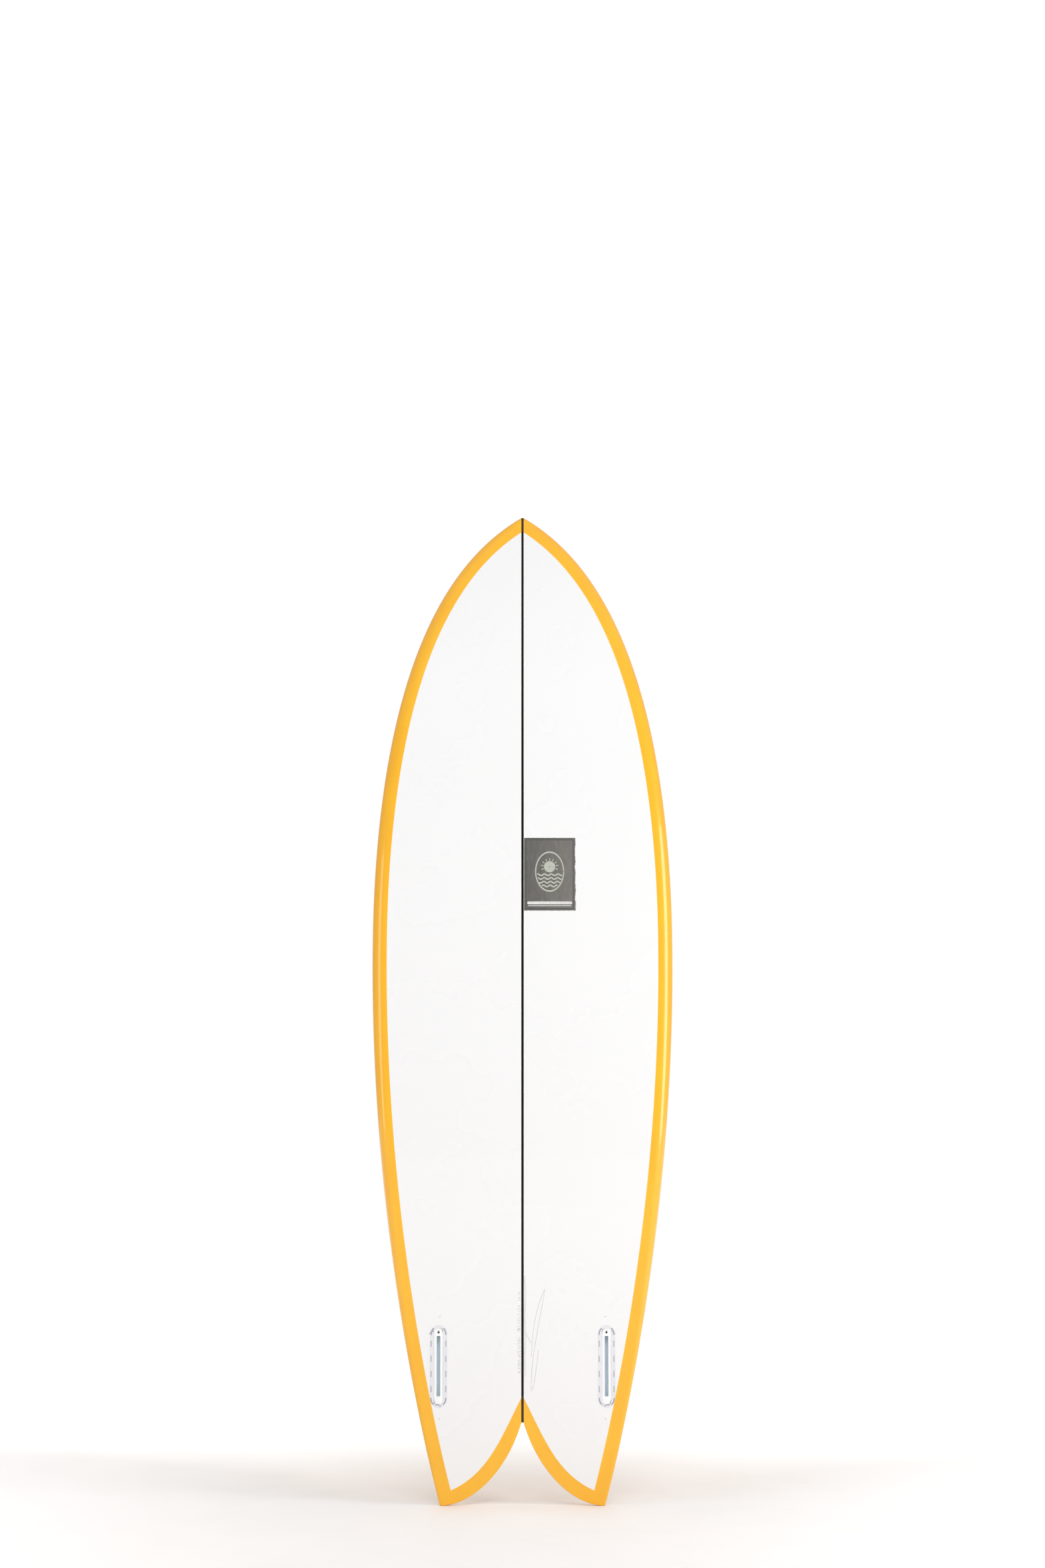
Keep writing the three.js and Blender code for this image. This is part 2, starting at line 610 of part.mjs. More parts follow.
// Foam: the core on each side of the stringer, less the pockets routed for the fittings.
let foam = core.subtract(slice(STRINGER + 2 * GAP)).subtract(labelRecess);
const pocket = boxForm(2 * GAP + BEDDING);
for (const { place } of boxes) {
  foam = foam.subtract(placed(pocket, place));
}
foam = foam.subtract(solid(plugForm(2 * GAP + BEDDING, OUTSIDE), plug.matrix));
function foamHalf(side) {
  const half = new THREE.BoxGeometry(WIDTH, 2 * LENGTH, 4 * LENGTH).translate((side * WIDTH) / 2, 0, 0);
  return foam.intersect(solid(half));
}

const board = new THREE.Group();
board.add(piece('bottom_laminate', bottomLaminate, WHITE_GLASS));
board.add(piece('deck_laminate', deckLaminate, ORANGE_GLASS));
board.add(piece('stringer', stringer, BLACK_WOOD));
board.add(piece('foam_left', foamHalf(-1), FOAM));
board.add(piece('foam_right', foamHalf(1), FOAM));
board.add(piece('label_patch', label, GREY_CLOTH));

// Fin boxes: each box and its screw are made about the box's own middle, the bedding in the board.
const boxBedding = boxForm(GAP + BEDDING).subtract(boxForm(GAP));
for (const { end, place } of boxes) {
  const fitting = new THREE.Group();
  fitting.position.copy(place.position);
  fitting.rotation.copy(place.rotation);
  fitting.add(piece(`fin_box_${end}`, finBox(), BOX_PLASTIC));
  const screw = piece(`fin_screw_${end}`, grubScrew(), STEEL);
  const seat = inScrewHole(SCREW_DEPTH + SCREW_LENGTH / 2);
  screw.position.copy(seat.position);
  screw.rotation.copy(seat.rotation);
  fitting.add(screw);
  board.add(fitting);
  board.add(piece(`fin_box_bedding_${end}`, placed(boxBedding, place).intersect(core), RESIN));
}

// Leash plug: the cup and its bar are made about the plug's rim, the bedding in the board.
const leashPlug = new THREE.Group();
leashPlug.position.copy(plug.position);
leashPlug.rotation.copy(plug.rotation);
leashPlug.add(piece('leash_cup', leashCup(), BOX_PLASTIC));
leashPlug.add(piece('leash_bar', solid(barGeometry(BAR_DIAMETER, BAR_LENGTH)), STEEL));
board.add(leashPlug);
const cupBed = solid(plugForm(GAP + BEDDING, OUTSIDE), plug.matrix);
const cupSpace = solid(plugForm(GAP, 2 * OUTSIDE), plug.matrix);
board.add(piece('leash_cup_bedding', cupBed.subtract(cupSpace).intersect(core), RESIN));

// The origin is at the foot, half way between the bottom's lowest line and the highest place of the deck.
const extent = new THREE.Box3().setFromObject(board);
board.position.y = -(extent.min.y + extent.max.y) / 2;

const surfboard = new THREE.Group();
surfboard.add(board);

export default surfboard;
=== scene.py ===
import math
import random

import bmesh
import bpy
import numpy as np
from mathutils import Matrix, Vector


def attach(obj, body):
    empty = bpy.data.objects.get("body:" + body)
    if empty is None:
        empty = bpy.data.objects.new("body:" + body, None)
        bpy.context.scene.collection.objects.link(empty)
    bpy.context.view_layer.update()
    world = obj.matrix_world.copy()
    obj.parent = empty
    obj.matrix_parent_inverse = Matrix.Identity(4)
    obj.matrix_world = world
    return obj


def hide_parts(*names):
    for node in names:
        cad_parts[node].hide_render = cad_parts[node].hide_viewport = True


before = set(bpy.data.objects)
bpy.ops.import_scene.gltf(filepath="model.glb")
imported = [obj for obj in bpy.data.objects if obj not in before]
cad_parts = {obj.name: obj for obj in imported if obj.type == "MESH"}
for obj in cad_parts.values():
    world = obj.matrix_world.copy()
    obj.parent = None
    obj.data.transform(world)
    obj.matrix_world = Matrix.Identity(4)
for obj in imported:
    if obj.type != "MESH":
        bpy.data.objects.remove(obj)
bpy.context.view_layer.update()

# ---- Camera ----
# A normal lens a little over four metres in front of the board's bottom, low down and tilted up ten degrees.
# It has no depth of field.
CAMERA_PLACE = (0.0, -4.0701, 0.5947)  # metres
CAMERA_RAISED = 10.0
FOCAL_LENGTH, SENSOR_WIDTH = 50.0, 36.0

lens = bpy.data.cameras.new("camera")
lens.lens = FOCAL_LENGTH
lens.sensor_width = SENSOR_WIDTH
camera = bpy.data.objects.new("camera", lens)
camera.location = CAMERA_PLACE
camera.rotation_euler = (math.radians(90.0 + CAMERA_RAISED), 0.0, 0.0)
bpy.context.scene.collection.objects.link(camera)
bpy.context.scene.camera = camera
bpy.context.scene.view_settings.view_transform = "Standard"


# ---- Floor ----
# A pale matt studio floor, wide enough that its far edge fades into the white wall behind.
# It is painted board with a little dust and wear. Behind and beside the surfboard it glows, which stands for
# the lamps that light the wall, so that the camera sees no edge where it ends.
class Paint:
    """A socket of a material. Sums written with it add Math nodes, and node() adds any other node."""

    def __init__(self, tree, socket=None):
        self.tree = tree
        self.socket = socket

    def node(self, kind, settings=None, inputs=None, out=0):
        made = self.tree.nodes.new("ShaderNode" + kind)
        for name, value in (settings or {}).items():
            if name == "stops":
                ramp = made.color_ramp
                ramp.elements[0].position, ramp.elements[1].position = value[0][0], value[-1][0]
                for place, _ in value[1:-1]:
                    ramp.elements.new(place)
                for element, (_, colour) in zip(ramp.elements, value):
                    element.color = (*colour, 1.0)
            else:
                setattr(made, name, value)
        for name, value in (inputs or {}).items():
            if isinstance(value, Paint):
                self.tree.links.new(value.socket, made.inputs[name])
            else:
                made.inputs[name].default_value = value
        return Paint(self.tree, made.outputs[out])

    def sum(self, operation, first, second=0.0):
        return self.node("Math", {"operation": operation}, {0: first, 1: second})

    def __add__(self, other):
        return self.sum("ADD", self, other)

    def __sub__(self, other):
        return self.sum("SUBTRACT", self, other)

    def __mul__(self, other):
        return self.sum("MULTIPLY", self, other)

    def __pow__(self, other):
        return self.sum("POWER", self, other)

    def __rsub__(self, other):
        return self.sum("SUBTRACT", other, self)

    __radd__ = __add__
    __rmul__ = __mul__

    def where(self):
        """The place on the piece, in metres in the board's own frame."""
        return self.node("TexCoord", out="Object")

    def along(self, axis):
        """One coordinate of that place, in millimetres."""
        return self.node("SeparateXYZ", inputs={"Vector": self.where()}, out="XYZ".index(axis)) * 1000.0

    def noise(self, scale, detail=3.0, stretch=(1.0, 1.0, 1.0)):
        """Cloudy values about 0.5. Scale is in features to the metre."""
        spread = self.node("Mapping", inputs={"Vector": self.where(), "Scale": stretch})
        return self.node("TexNoise", inputs={"Vector": spread, "Scale": scale, "Detail": detail})

    def ease(self, value, low, high):
        """A smooth step from 0 to 1 as a value goes from low to high."""
        limits = {"Value": value, "From Min": low, "From Max": high}
        return self.node("MapRange", {"interpolation_type": "SMOOTHSTEP"}, limits)

    def mix(self, share, first, second):
        """The first colour, going to the second as the share goes to 1."""
        ends = [c if isinstance(c, Paint) else (*c, 1.0) for c in (first, second)]
        return self.node("Mix", {"data_type": "RGBA"}, {0: share, 6: ends[0], 7: ends[1]}, out=2)

    def bump(self, height, strength, distance):
        """Relief in the surface, its distance in metres."""
        return self.node("Bump", inputs={"Height": height, "Strength": strength, "Distance": distance})


def finish(name, **constants):
    """A new material, its shader with the sockets that stay constant set, and a Paint for its nodes."""
    material = bpy.data.materials.new(name)
    material.use_nodes = True
    shader = material.node_tree.nodes["Principled BSDF"]
    for socket, value in constants.items():
        shader.inputs[socket.replace("_", " ")].default_value = value
    return material, shader, Paint(material.node_tree)


def paint_on(shader, **links):
    """Feeds a shader's sockets with what changes over the surface."""
    for socket, wire in links.items():
        shader.id_data.links.new(wire.socket, shader.inputs[socket.replace("_", " ")])


def shaded(colour, times):
    """A colour made darker or lighter."""
    return tuple(times * part for part in colour)


FLOOR_RADIUS = 14.0  # metres
FLOOR_COLOUR = (0.975, 0.94, 0.92)
FLOOR_GLOW = (0.44, 0.47, 0.49)
GLOW_BESIDE = (200.0, 1200.0)  # where it begins and where it is full, from the board's middle
GLOW_BEHIND = (150.0, 1400.0)
SHARE_BESIDE = 0.4  # how strong it is at the sides

floor_mesh = bpy.data.meshes.new("floor")
shape = bmesh.new()
bmesh.ops.create_circle(shape, cap_ends=True, segments=96, radius=FLOOR_RADIUS)
shape.to_mesh(floor_mesh)
floor = bpy.data.objects.new("floor", floor_mesh)
bpy.context.scene.collection.objects.link(floor)
material, shader, paint = finish("floor_paint", Specular_IOR_Level=0.25)
worn = paint.ease(paint.noise(9.0, 6.0), 0.35, 0.75)
tone = paint.mix(worn * 0.5, FLOOR_COLOUR, shaded(FLOOR_COLOUR, 0.96))
beside = paint.ease(paint.sum("ABSOLUTE", paint.along("X")), *GLOW_BESIDE)
behind = paint.ease(paint.along("Y"), *GLOW_BEHIND)
glow = paint.mix(paint.sum("MAXIMUM", beside * SHARE_BESIDE, behind), (0.0, 0.0, 0.0), FLOOR_GLOW)
shader.inputs["Emission Strength"].default_value = 1.0
paint_on(shader, Base_Color=tone, Roughness=0.62 + 0.15 * worn, Normal=paint.bump(worn, 0.05, 0.001),
         Emission_Color=glow)
floor_mesh.materials.append(material)


# ---- Light ----
# A white wall behind the board, a dimmer room in front and at the sides, and three soft boxes.
# The right-hand box is the stronger of the two beside the board, so the rail's highlight is brighter there.
# The front one hangs behind and above the camera, and is kept out of the gloss's reflections.
ROOM_BEHIND = 1.06
ROOM_FRONT = 0.40
ROOM_OVERHEAD = 0.33
WALL_EDGE = (0.70, 0.82)  # how squarely a direction faces the wall, where it begins and where it is full
CEILING_EDGE = (0.3, 0.9)
SOFT_BOXES = {  # place, what it points at (metres), width, height, watts
    "soft_box_right": ((2.35, -1.15, 1.20), (0.2, 0.0, 1.05), 1.1, 1.5, 29.0),
    "soft_box_left": ((-2.35, -1.5, 1.15), (-0.2, 0.0, 1.0), 0.9, 1.3, 10.0),
    "soft_box_front": ((0.3, -5.2, 4.7), (0.0, 0.0, 0.9), 2.8, 1.6, 100.0),
}

room = bpy.data.worlds.new("room")
room.use_nodes = True
bpy.context.scene.world = room
paint = Paint(room.node_tree)
towards = paint.node("TexCoord", out="Generated")
behind = paint.ease(paint.node("SeparateXYZ", inputs={"Vector": towards}, out="Y"), *WALL_EDGE)
above = paint.ease(paint.node("SeparateXYZ", inputs={"Vector": towards}, out="Z"), *CEILING_EDGE)
strength = ROOM_FRONT + behind * (ROOM_BEHIND - ROOM_FRONT) + above * ROOM_OVERHEAD
backdrop = room.node_tree.nodes["Background"]
backdrop.inputs["Color"].default_value = (1.0, 1.0, 1.0, 1.0)
room.node_tree.links.new(strength.socket, backdrop.inputs["Strength"])
for name, (place, target, width, height, watts) in SOFT_BOXES.items():
    lamp = bpy.data.lights.new(name, "AREA")
    lamp.shape = "RECTANGLE"
    lamp.size, lamp.size_y = width, height
    lamp.energy = watts
    box = bpy.data.objects.new(name, lamp)
    box.location = place
    box.visible_glossy = name != "soft_box_front"
    box.rotation_euler = (Vector(target) - Vector(place)).to_track_quat("-Z", "Y").to_euler()
    bpy.context.scene.collection.objects.link(box)


# ---- Foam ----
# The blank: two halves of blown polyurethane foam, one each side of the stringer, planed and sanded.
# It lies under the glass. The CAD halves stay, with the open pores of cut foam.
FOAM_COLOUR = (0.90, 0.885, 0.84)

material, shader, paint = finish("cut_foam", Specular_IOR_Level=0.2)
pores = paint.node("TexVoronoi", inputs={"Vector": paint.where(), "Scale": 1600.0})
age = paint.noise(14.0, 4.0)
tone = paint.mix(paint.ease(age, 0.3, 0.8), FOAM_COLOUR, shaded(FOAM_COLOUR, 0.94))
paint_on(shader, Base_Color=tone, Roughness=0.85 + 0.1 * age, Normal=paint.bump(pores, 0.4, 0.0003))


def repaint(nodes, material):
    """Gives CAD nodes that stay in sight a new material on their one slot."""
    for node in nodes:
        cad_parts[node].data.materials.clear()
        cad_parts[node].data.materials.append(material)


repaint(("foam_left", "foam_right"), material)


# ---- Stringer ----
# A strip of black-stained timber glued between the halves, planed to the blank's rocker and foil.
# Its edge shows through the clear glass on the bottom, and it runs from the notch to the nose.
MM = 0.001
LENGTH = 1854.0
MID_HEIGHT = 59.648  # the frame's Y = 0 above the bottom's lowest line
FLAT_POINT = 853.0
THICK_POINT = 927.0
WIDE_POINT = 1000.0
NOSE_LIFT, TAIL_LIFT, ROCKER_POWER = 112.0, 46.0, 2.3
THICKNESS, TAIL_THICKNESS, NOSE_THICKNESS = 69.0, 14.0, 11.0
TAIL_FOIL, NOSE_FOIL = 2.2, 1.9  # how fully the thickness holds towards each end
NOTCH_TOP = 145.7
HALF_STRINGER = 2.25
BURIED = 0.9  # below the tinted glass
BLUNTED, BLUNTED_OVER = 6.5, 24.0  # planed off its top over the last stretch to the nose
FLUSH = 0.02  # just under the clear face
STRINGER_FROM, STRINGER_TO = 188.0, 1826.0  # its edge lies bare under clear glass between these
STRINGER_COLOURS = [(0.0, (0.002, 0.0018, 0.0016)), (0.6, (0.005, 0.004, 0.0035)),
                    (1.0, (0.016, 0.012, 0.010))]


def bottom_line(z):
    """Height of the bottom along the stringer."""
    nose = np.clip((z - WIDE_POINT) / (LENGTH - WIDE_POINT), 0.0, 1.0)
    tail = np.clip((FLAT_POINT - z) / FLAT_POINT, 0.0, 1.0)
    return NOSE_LIFT * nose**ROCKER_POWER + TAIL_LIFT * tail**ROCKER_POWER


def thickness(z):
    tail = np.clip(1.0 - z / THICK_POINT, 0.0, 1.0) ** TAIL_FOIL
    nose = np.clip(1.0 - (LENGTH - z) / (LENGTH - THICK_POINT), 0.0, 1.0) ** NOSE_FOIL
    off = np.where(z < THICK_POINT, (THICKNESS - TAIL_THICKNESS) * tail, (THICKNESS - NOSE_THICKNESS) * nose)
    return THICKNESS - off


def places(x, y, z):
    """Points in the frame, in metres, from millimetres on the board."""
    x, y, z = np.broadcast_arrays(np.asarray(x, float), y, z)
    return np.stack([x * MM, (y - MID_HEIGHT) * MM, z * MM], axis=-1)


def piece(name, mesh, materials, body="board", sharp=35.0):
    """Puts a finished mesh in the scene with its materials, riding on a body."""
    for used in materials:
        mesh.materials.append(used)
    mesh.polygons.foreach_set("use_smooth", [True] * len(mesh.polygons))
    mesh.set_sharp_from_angle(angle=math.radians(sharp))
    made = bpy.data.objects.new(name, mesh)
    bpy.context.scene.collection.objects.link(made)
    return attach(made, body)


def patchwork(name, patches, facing, weld=2e-6):
    """One mesh from grids of points, each with its material's number, welded together and facing one way."""
    points, faces, marks = [], [], []
    for grid, mark in patches:
        rows, columns = grid.shape[:2]
        first = len(points)
        points.extend(grid.reshape(-1, 3).tolist())
        for i in range(rows - 1):
            for j in range(columns - 1):
                corner = first + i * columns + j
                faces.append((corner, corner + 1, corner + columns + 1, corner + columns))
                marks.append(mark)
    mesh = bpy.data.meshes.new(name)
    mesh.from_pydata(points, [], faces)
    mesh.polygons.foreach_set("material_index", marks)
    shape = bmesh.new()
    shape.from_mesh(mesh)
    bmesh.ops.remove_doubles(shape, verts=shape.verts, dist=weld)
    bmesh.ops.dissolve_degenerate(shape, edges=shape.edges, dist=weld)
    bmesh.ops.recalc_face_normals(shape, faces=shape.faces)
    total = sum((f.normal * f.calc_area() for f in shape.faces), Vector())
    if facing is not None and total.dot(Vector(facing)) < 0.0:
        bmesh.ops.reverse_faces(shape, faces=shape.faces)
    shape.to_mesh(mesh)
    shape.free()
    return mesh


run = np.concatenate([np.linspace(NOTCH_TOP + 2.0, STRINGER_FROM, 24),
                      np.linspace(STRINGER_FROM + 0.1, STRINGER_TO, 420),
                      np.linspace(STRINGER_TO + 0.1, LENGTH - 5.0, 20)])
bare = (run > STRINGER_FROM) & (run < STRINGER_TO + 0.05)
low = bottom_line(run) + np.where(bare, FLUSH, BURIED)
planed = BLUNTED * np.clip((run - STRINGER_TO) / BLUNTED_OVER, 0.0, 1.0)
high = bottom_line(run) + thickness(run) - BURIED - planed
corners = ((1, low), (1, high), (-1, high), (-1, low), (1, low))
ring = [places(side * (HALF_STRINGER - 0.01), y, run) for side, y in corners]
blade = np.stack(ring, axis=1)
caps = [np.stack([blade[i, :2], blade[i, [3, 2]]]) for i in (0, -1)]
mesh = patchwork("stringer_blade", [(blade, 0), (caps[0], 0), (caps[1], 0)], None)

material, shader, paint = finish("black_stained_timber", Coat_Weight=0.6, Coat_Roughness=0.04, Coat_IOR=1.3,
                                 Specular_IOR_Level=0.1)
grain = paint.noise(900.0, 5.0, (1.0, 1.0, 0.03))
tone = paint.node("ValToRGB", {"stops": STRINGER_COLOURS}, {"Fac": grain})
paint_on(shader, Base_Color=tone, Roughness=0.34 + 0.2 * grain, Normal=paint.bump(grain, 0.15, 0.0001))
stringer = piece("stringer_blade", mesh, [material])
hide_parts("stringer")


# ---- Plan of the board ----
# The outline is sawn from the blank: a pointed nose, long full rails and a swallow tail cut between two tips.
# These curves give where the rail, the coloured band and the notch run, seen square to the bottom.
# Angles are in degrees from straight down the board, and a pull is how far a curve holds its end's direction.
NOSE_ARC, NOSE_ANGLE, NOSE_PULL = 6.0, 57.0, 272.0
HALF_WIDTH, PULL_AHEAD, PULL_BEHIND = 279.0, 307.0, 486.0
HALF_SPREAD, RAIL_SLANT, TIP_PULL = 148.0, 15.3, 112.0
NOTCH_ARC, NOTCH_ANGLE, NOTCH_PULL = 2.5, 17.0, 78.0
FOOT_INNER, FOOT_ANGLE, FOOT_PULL = 142.0, -95.0, 62.0
BAND = (26.0, 28.4, 28.0)  # its width at the tail, the wide point and the nose
BAND_V, BAND_V_ANGLE, BAND_V_PULL = 193.0, 28.0, 78.0
BAND_CORNER_HEIGHT, BAND_CORNER_ANGLE, BAND_CORNER_PULL = 27.0, -113.5, 76.0
LEGS_FROM = 200.0  # below this the rows of the mesh follow the notch


def along_board(values, z):
    """A value that goes smoothly from the tail to the wide point and on to the nose."""
    tail, middle, nose = values
    back = np.clip(z / WIDE_POINT, 0.0, 1.0)
    ahead = np.clip((z - WIDE_POINT) / (LENGTH - WIDE_POINT), 0.0, 1.0)
    return tail + (middle - tail) * back**2 * (3 - 2 * back) + (nose - middle) * ahead**2 * (3 - 2 * ahead)


def curve(controls, t):
    """Points of a curve with four control points, and its direction at each."""
    a, b, c, d = (np.array(p, float) for p in controls)
    t = np.asarray(t, float)[:, None]
    at = (1 - t) ** 3 * a + 3 * (1 - t) ** 2 * t * b + 3 * (1 - t) * t**2 * c + t**3 * d
    way = (1 - t) ** 2 * (b - a) + 2 * (1 - t) * t * (c - b) + t**2 * (d - c)
    return at, way / np.linalg.norm(way, axis=1, keepdims=True)


def slanted(angle, length):
    """A step in plan of a given length, at an angle from straight down the board."""
    return np.array([math.sin(math.radians(angle)), -math.cos(math.radians(angle))]) * length


class Path:
    """A plan curve of close points with a sideways direction at each, read by its share of the length."""

    def __init__(self, at, side):
        self.at, self.side = at, side
        steps = np.linalg.norm(np.diff(at, axis=0), axis=1)
        self.length = np.concatenate([[0.0], np.cumsum(steps)])
        self.share = self.length / self.length[-1]

    def __call__(self, share, what="at"):
        held = getattr(self, what)
        return np.stack([np.interp(share, self.share, held[:, k]) for k in (0, 1)], axis=-1)

    def share_at(self, axis, value):
        """Share of the length where a coordinate that only grows or only falls has a value."""
        held = self.at[:, axis]
        order = np.argsort(held, kind="stable")
        return float(np.interp(value, held[order], self.share[order]))


def path_of(*parts):
    """Joins (points, sideways directions) end to end."""
    at = np.concatenate([parts[0][0]] + [p[0][1:] for p in parts[1:]])
    side = np.concatenate([parts[0][1]] + [p[1][1:] for p in parts[1:]])
    return Path(at, side)


fine = np.linspace(0.0, 1.0, 3001)
arc = np.radians(90.0 - (90.0 - NOSE_ANGLE) * fine)
arc_out = np.stack([np.cos(arc), np.sin(arc)], axis=1)
nose_start = np.array([0.0, LENGTH - NOSE_ARC]) + NOSE_ARC * arc_out[-1]
ahead_at, ahead_way = curve([nose_start, nose_start + slanted(NOSE_ANGLE, NOSE_PULL),
                             (HALF_WIDTH, WIDE_POINT + PULL_AHEAD), (HALF_WIDTH, WIDE_POINT)], fine)
tip = np.array([HALF_SPREAD, 0.0])
behind_at, behind_way = curve([(HALF_WIDTH, WIDE_POINT), (HALF_WIDTH, WIDE_POINT - PULL_BEHIND),
                               tip + slanted(180.0 - RAIL_SLANT, TIP_PULL), tip], fine)


def outward(way):
    """The directions square to those of a curve, away from the foam."""
    return np.stack([-way[:, 1], way[:, 0]], axis=1)


rail = path_of((arc_out * NOSE_ARC + (0.0, LENGTH - NOSE_ARC), arc_out), (ahead_at, outward(ahead_way)),
               (behind_at, outward(behind_way)))
half_width_heights, half_widths = rail.at[::-1, 1], rail.at[::-1, 0]


def half_width(z):
    return np.maximum(np.interp(z, half_width_heights, half_widths), 1e-4)


def band_inner(share):
    """Where the coloured band's inner edge runs beside the rail."""
    at, out = rail(share), rail(share, "side")
    return at - out * along_board(BAND, np.clip(at[..., 1], 0.0, LENGTH))[..., None]


band_edge = band_inner(rail.share)
corner_share = float(np.interp(-BAND_CORNER_HEIGHT, -band_edge[:, 1], rail.share))
band_corner = band_inner(np.array([corner_share]))[0]
legs_share = rail.share_at(1, LEGS_FROM)

notch_arc = np.radians(90.0 - (90.0 - NOTCH_ANGLE) * fine)
notch_side = np.stack([np.cos(notch_arc), np.sin(notch_arc)], axis=1)
notch_centre = np.array([0.0, NOTCH_TOP - NOTCH_ARC])
notch_start = notch_centre + notch_side[-1] * NOTCH_ARC
foot_corner = np.array([FOOT_INNER, 0.0])
notch_at, notch_way = curve([notch_start, notch_start + slanted(NOTCH_ANGLE, NOTCH_PULL),
                             foot_corner + slanted(FOOT_ANGLE, FOOT_PULL), foot_corner], fine)
middle_run = np.stack([0.0 * fine, LEGS_FROM + (NOTCH_TOP - LEGS_FROM) * fine], axis=1)
land = np.stack([FOOT_INNER + (HALF_SPREAD - FOOT_INNER) * fine, 0.0 * fine], axis=1)
upward = np.tile([0.0, 1.0], (len(fine), 1))
inner = path_of((middle_run, upward), (notch_centre + notch_side * NOTCH_ARC, notch_side),
                (notch_at, outward(notch_way)), (land, upward))
v_at, v_way = curve([(0.0, BAND_V), slanted(BAND_V_ANGLE, BAND_V_PULL) + (0.0, BAND_V),
                     band_corner + slanted(BAND_CORNER_ANGLE, BAND_CORNER_PULL), band_corner], fine)
band_v = Path(v_at, outward(v_way))


# ---- Deck, rails and coloured band ----
# Glass cloth wetted out with orange resin over the deck. It wraps the rails and laps on to the bottom,
# where it is cut to a tape line, then hot coated, sanded and glossed. The tint darkens over the stringer.
RAIL_LINE = (0.25, 0.38, 0.5)  # its share of the thickness at the tail, the wide point and the nose
RAIL_TUCK = (5.0, 26.0, 22.0)  # how far in the bottom begins to turn up to the rail at those places
NOSE_ROUNDING = 14.0  # the last stretch over which the bottom closes at the nose
DECK_ROUNDING = 40.0
DECK_POWER = 2.5  # a higher number gives a flatter deck with fuller rails
RIM = 1.6  # eased edge of the notch and feet
GLASS = 0.6
GLASS_THREADS = 420.0
ACROSS_BAND, ACROSS_DECK, RIM_STEPS = 18, 28, 5
TINT = (0.960, 0.495, 0.014)
TINT_DEEP = (0.88, 0.395, 0.009)
TINT_ASLANT = (0.80, 0.30, 0.010)  # seen through more resin, where the rail turns away
TINT_OVER_STRINGER = (0.034, 0.020, 0.008)
LEASH_PLUG_RADIUS = 14.3
LEASH_RIM_CENTRE = (-34.0, 0.00242 / MM + MID_HEIGHT, 240.7)
LEASH_NORMAL = Vector((0.0, 0.99995, -0.01039))


def rail_line(z):
    return bottom_line(z) + along_board(RAIL_LINE, z) * thickness(z)


def nose_closing(z, rounding=NOSE_ROUNDING):
    return np.sqrt(1.0 - (1.0 - np.clip((LENGTH - z) / rounding, 0.0, 1.0)) ** 2)


def bottom_height(x, z):
    """Height of the bottom face at a place in plan: flat across, then tucked up to the rail."""
    half = half_width(z)
    tuck = np.minimum(along_board(RAIL_TUCK, z), 0.6 * half)
    below = nose_closing(z) * along_board(RAIL_LINE, z) * thickness(z)
    turn = np.clip(1.0 - (half - np.abs(x)) / tuck, 0.0, 1.0)
    return rail_line(z) - below * np.sqrt(1.0 - turn**2)


def deck_height(x, z):
    """Height of the domed deck at a place in plan."""
    above = nose_closing(z, DECK_ROUNDING) * (1.0 - along_board(RAIL_LINE, z)) * thickness(z)
    across = np.clip(np.abs(x) / half_width(z), 0.0, 1.0)
    return rail_line(z) + above * np.sqrt(1.0 - across**DECK_POWER)


def rows(start, end, shares, height, at_rail):
    """A grid from one plan curve to another, laid on a face. Its last column may be the rail's edge."""
    plan = start[:, None] + (end - start)[:, None] * shares[None, :, None]
    y = height(plan[..., 0], plan[..., 1])
    if at_rail:
        y[:, -1] = rail_line(plan[:, -1, 1])
    return places(plan[..., 0], y, plan[..., 1])


def past_stringer(start, end):
    """Each row's point at the stringer's edge, or the end of it that is nearer where it doesn't cross."""
    run = np.maximum(end[:, 0] - start[:, 0], 1e-9)
    share = np.clip((HALF_STRINGER - start[:, 0]) / run, 0.0, 1.0)[:, None]
    return np.where(end[:, :1] < HALF_STRINGER, end, start + (end - start) * share)


def mirrored(grid):
    return grid * (-1.0, 1.0, 1.0)


apex_share = float(inner.share[len(fine) - 1])
beside_share = float(np.interp(HALF_STRINGER, inner.at[len(fine) - 1:, 0], inner.share[len(fine) - 1:]))
foot_share = float(inner.share[3 * len(fine) - 3])
legs_corner = (corner_share - legs_share) / (1.0 - legs_share)
leg_rows = np.unique(np.concatenate([
    np.linspace(0.0, apex_share, 9), np.linspace(apex_share, beside_share, 6),
    np.linspace(beside_share, foot_share, 78), np.linspace(foot_share, 1.0, 5), np.linspace(0.93, 1.0, 12),
    [legs_corner]]))
arc_share = rail.share[len(fine) - 1]
wide_share = rail.share[2 * len(fine) - 2]
board_rows = np.unique(np.concatenate([
    arc_share * np.linspace(0.0, 1.0, 9),
    arc_share + (wide_share - arc_share) * np.linspace(0.0, 1.0, 150) ** 1.5,
    np.linspace(wide_share, legs_share, 120)]))
rail_shares = np.concatenate([board_rows[:-1], legs_share + (1.0 - legs_share) * leg_rows])
rail_points = rail(rail_shares)

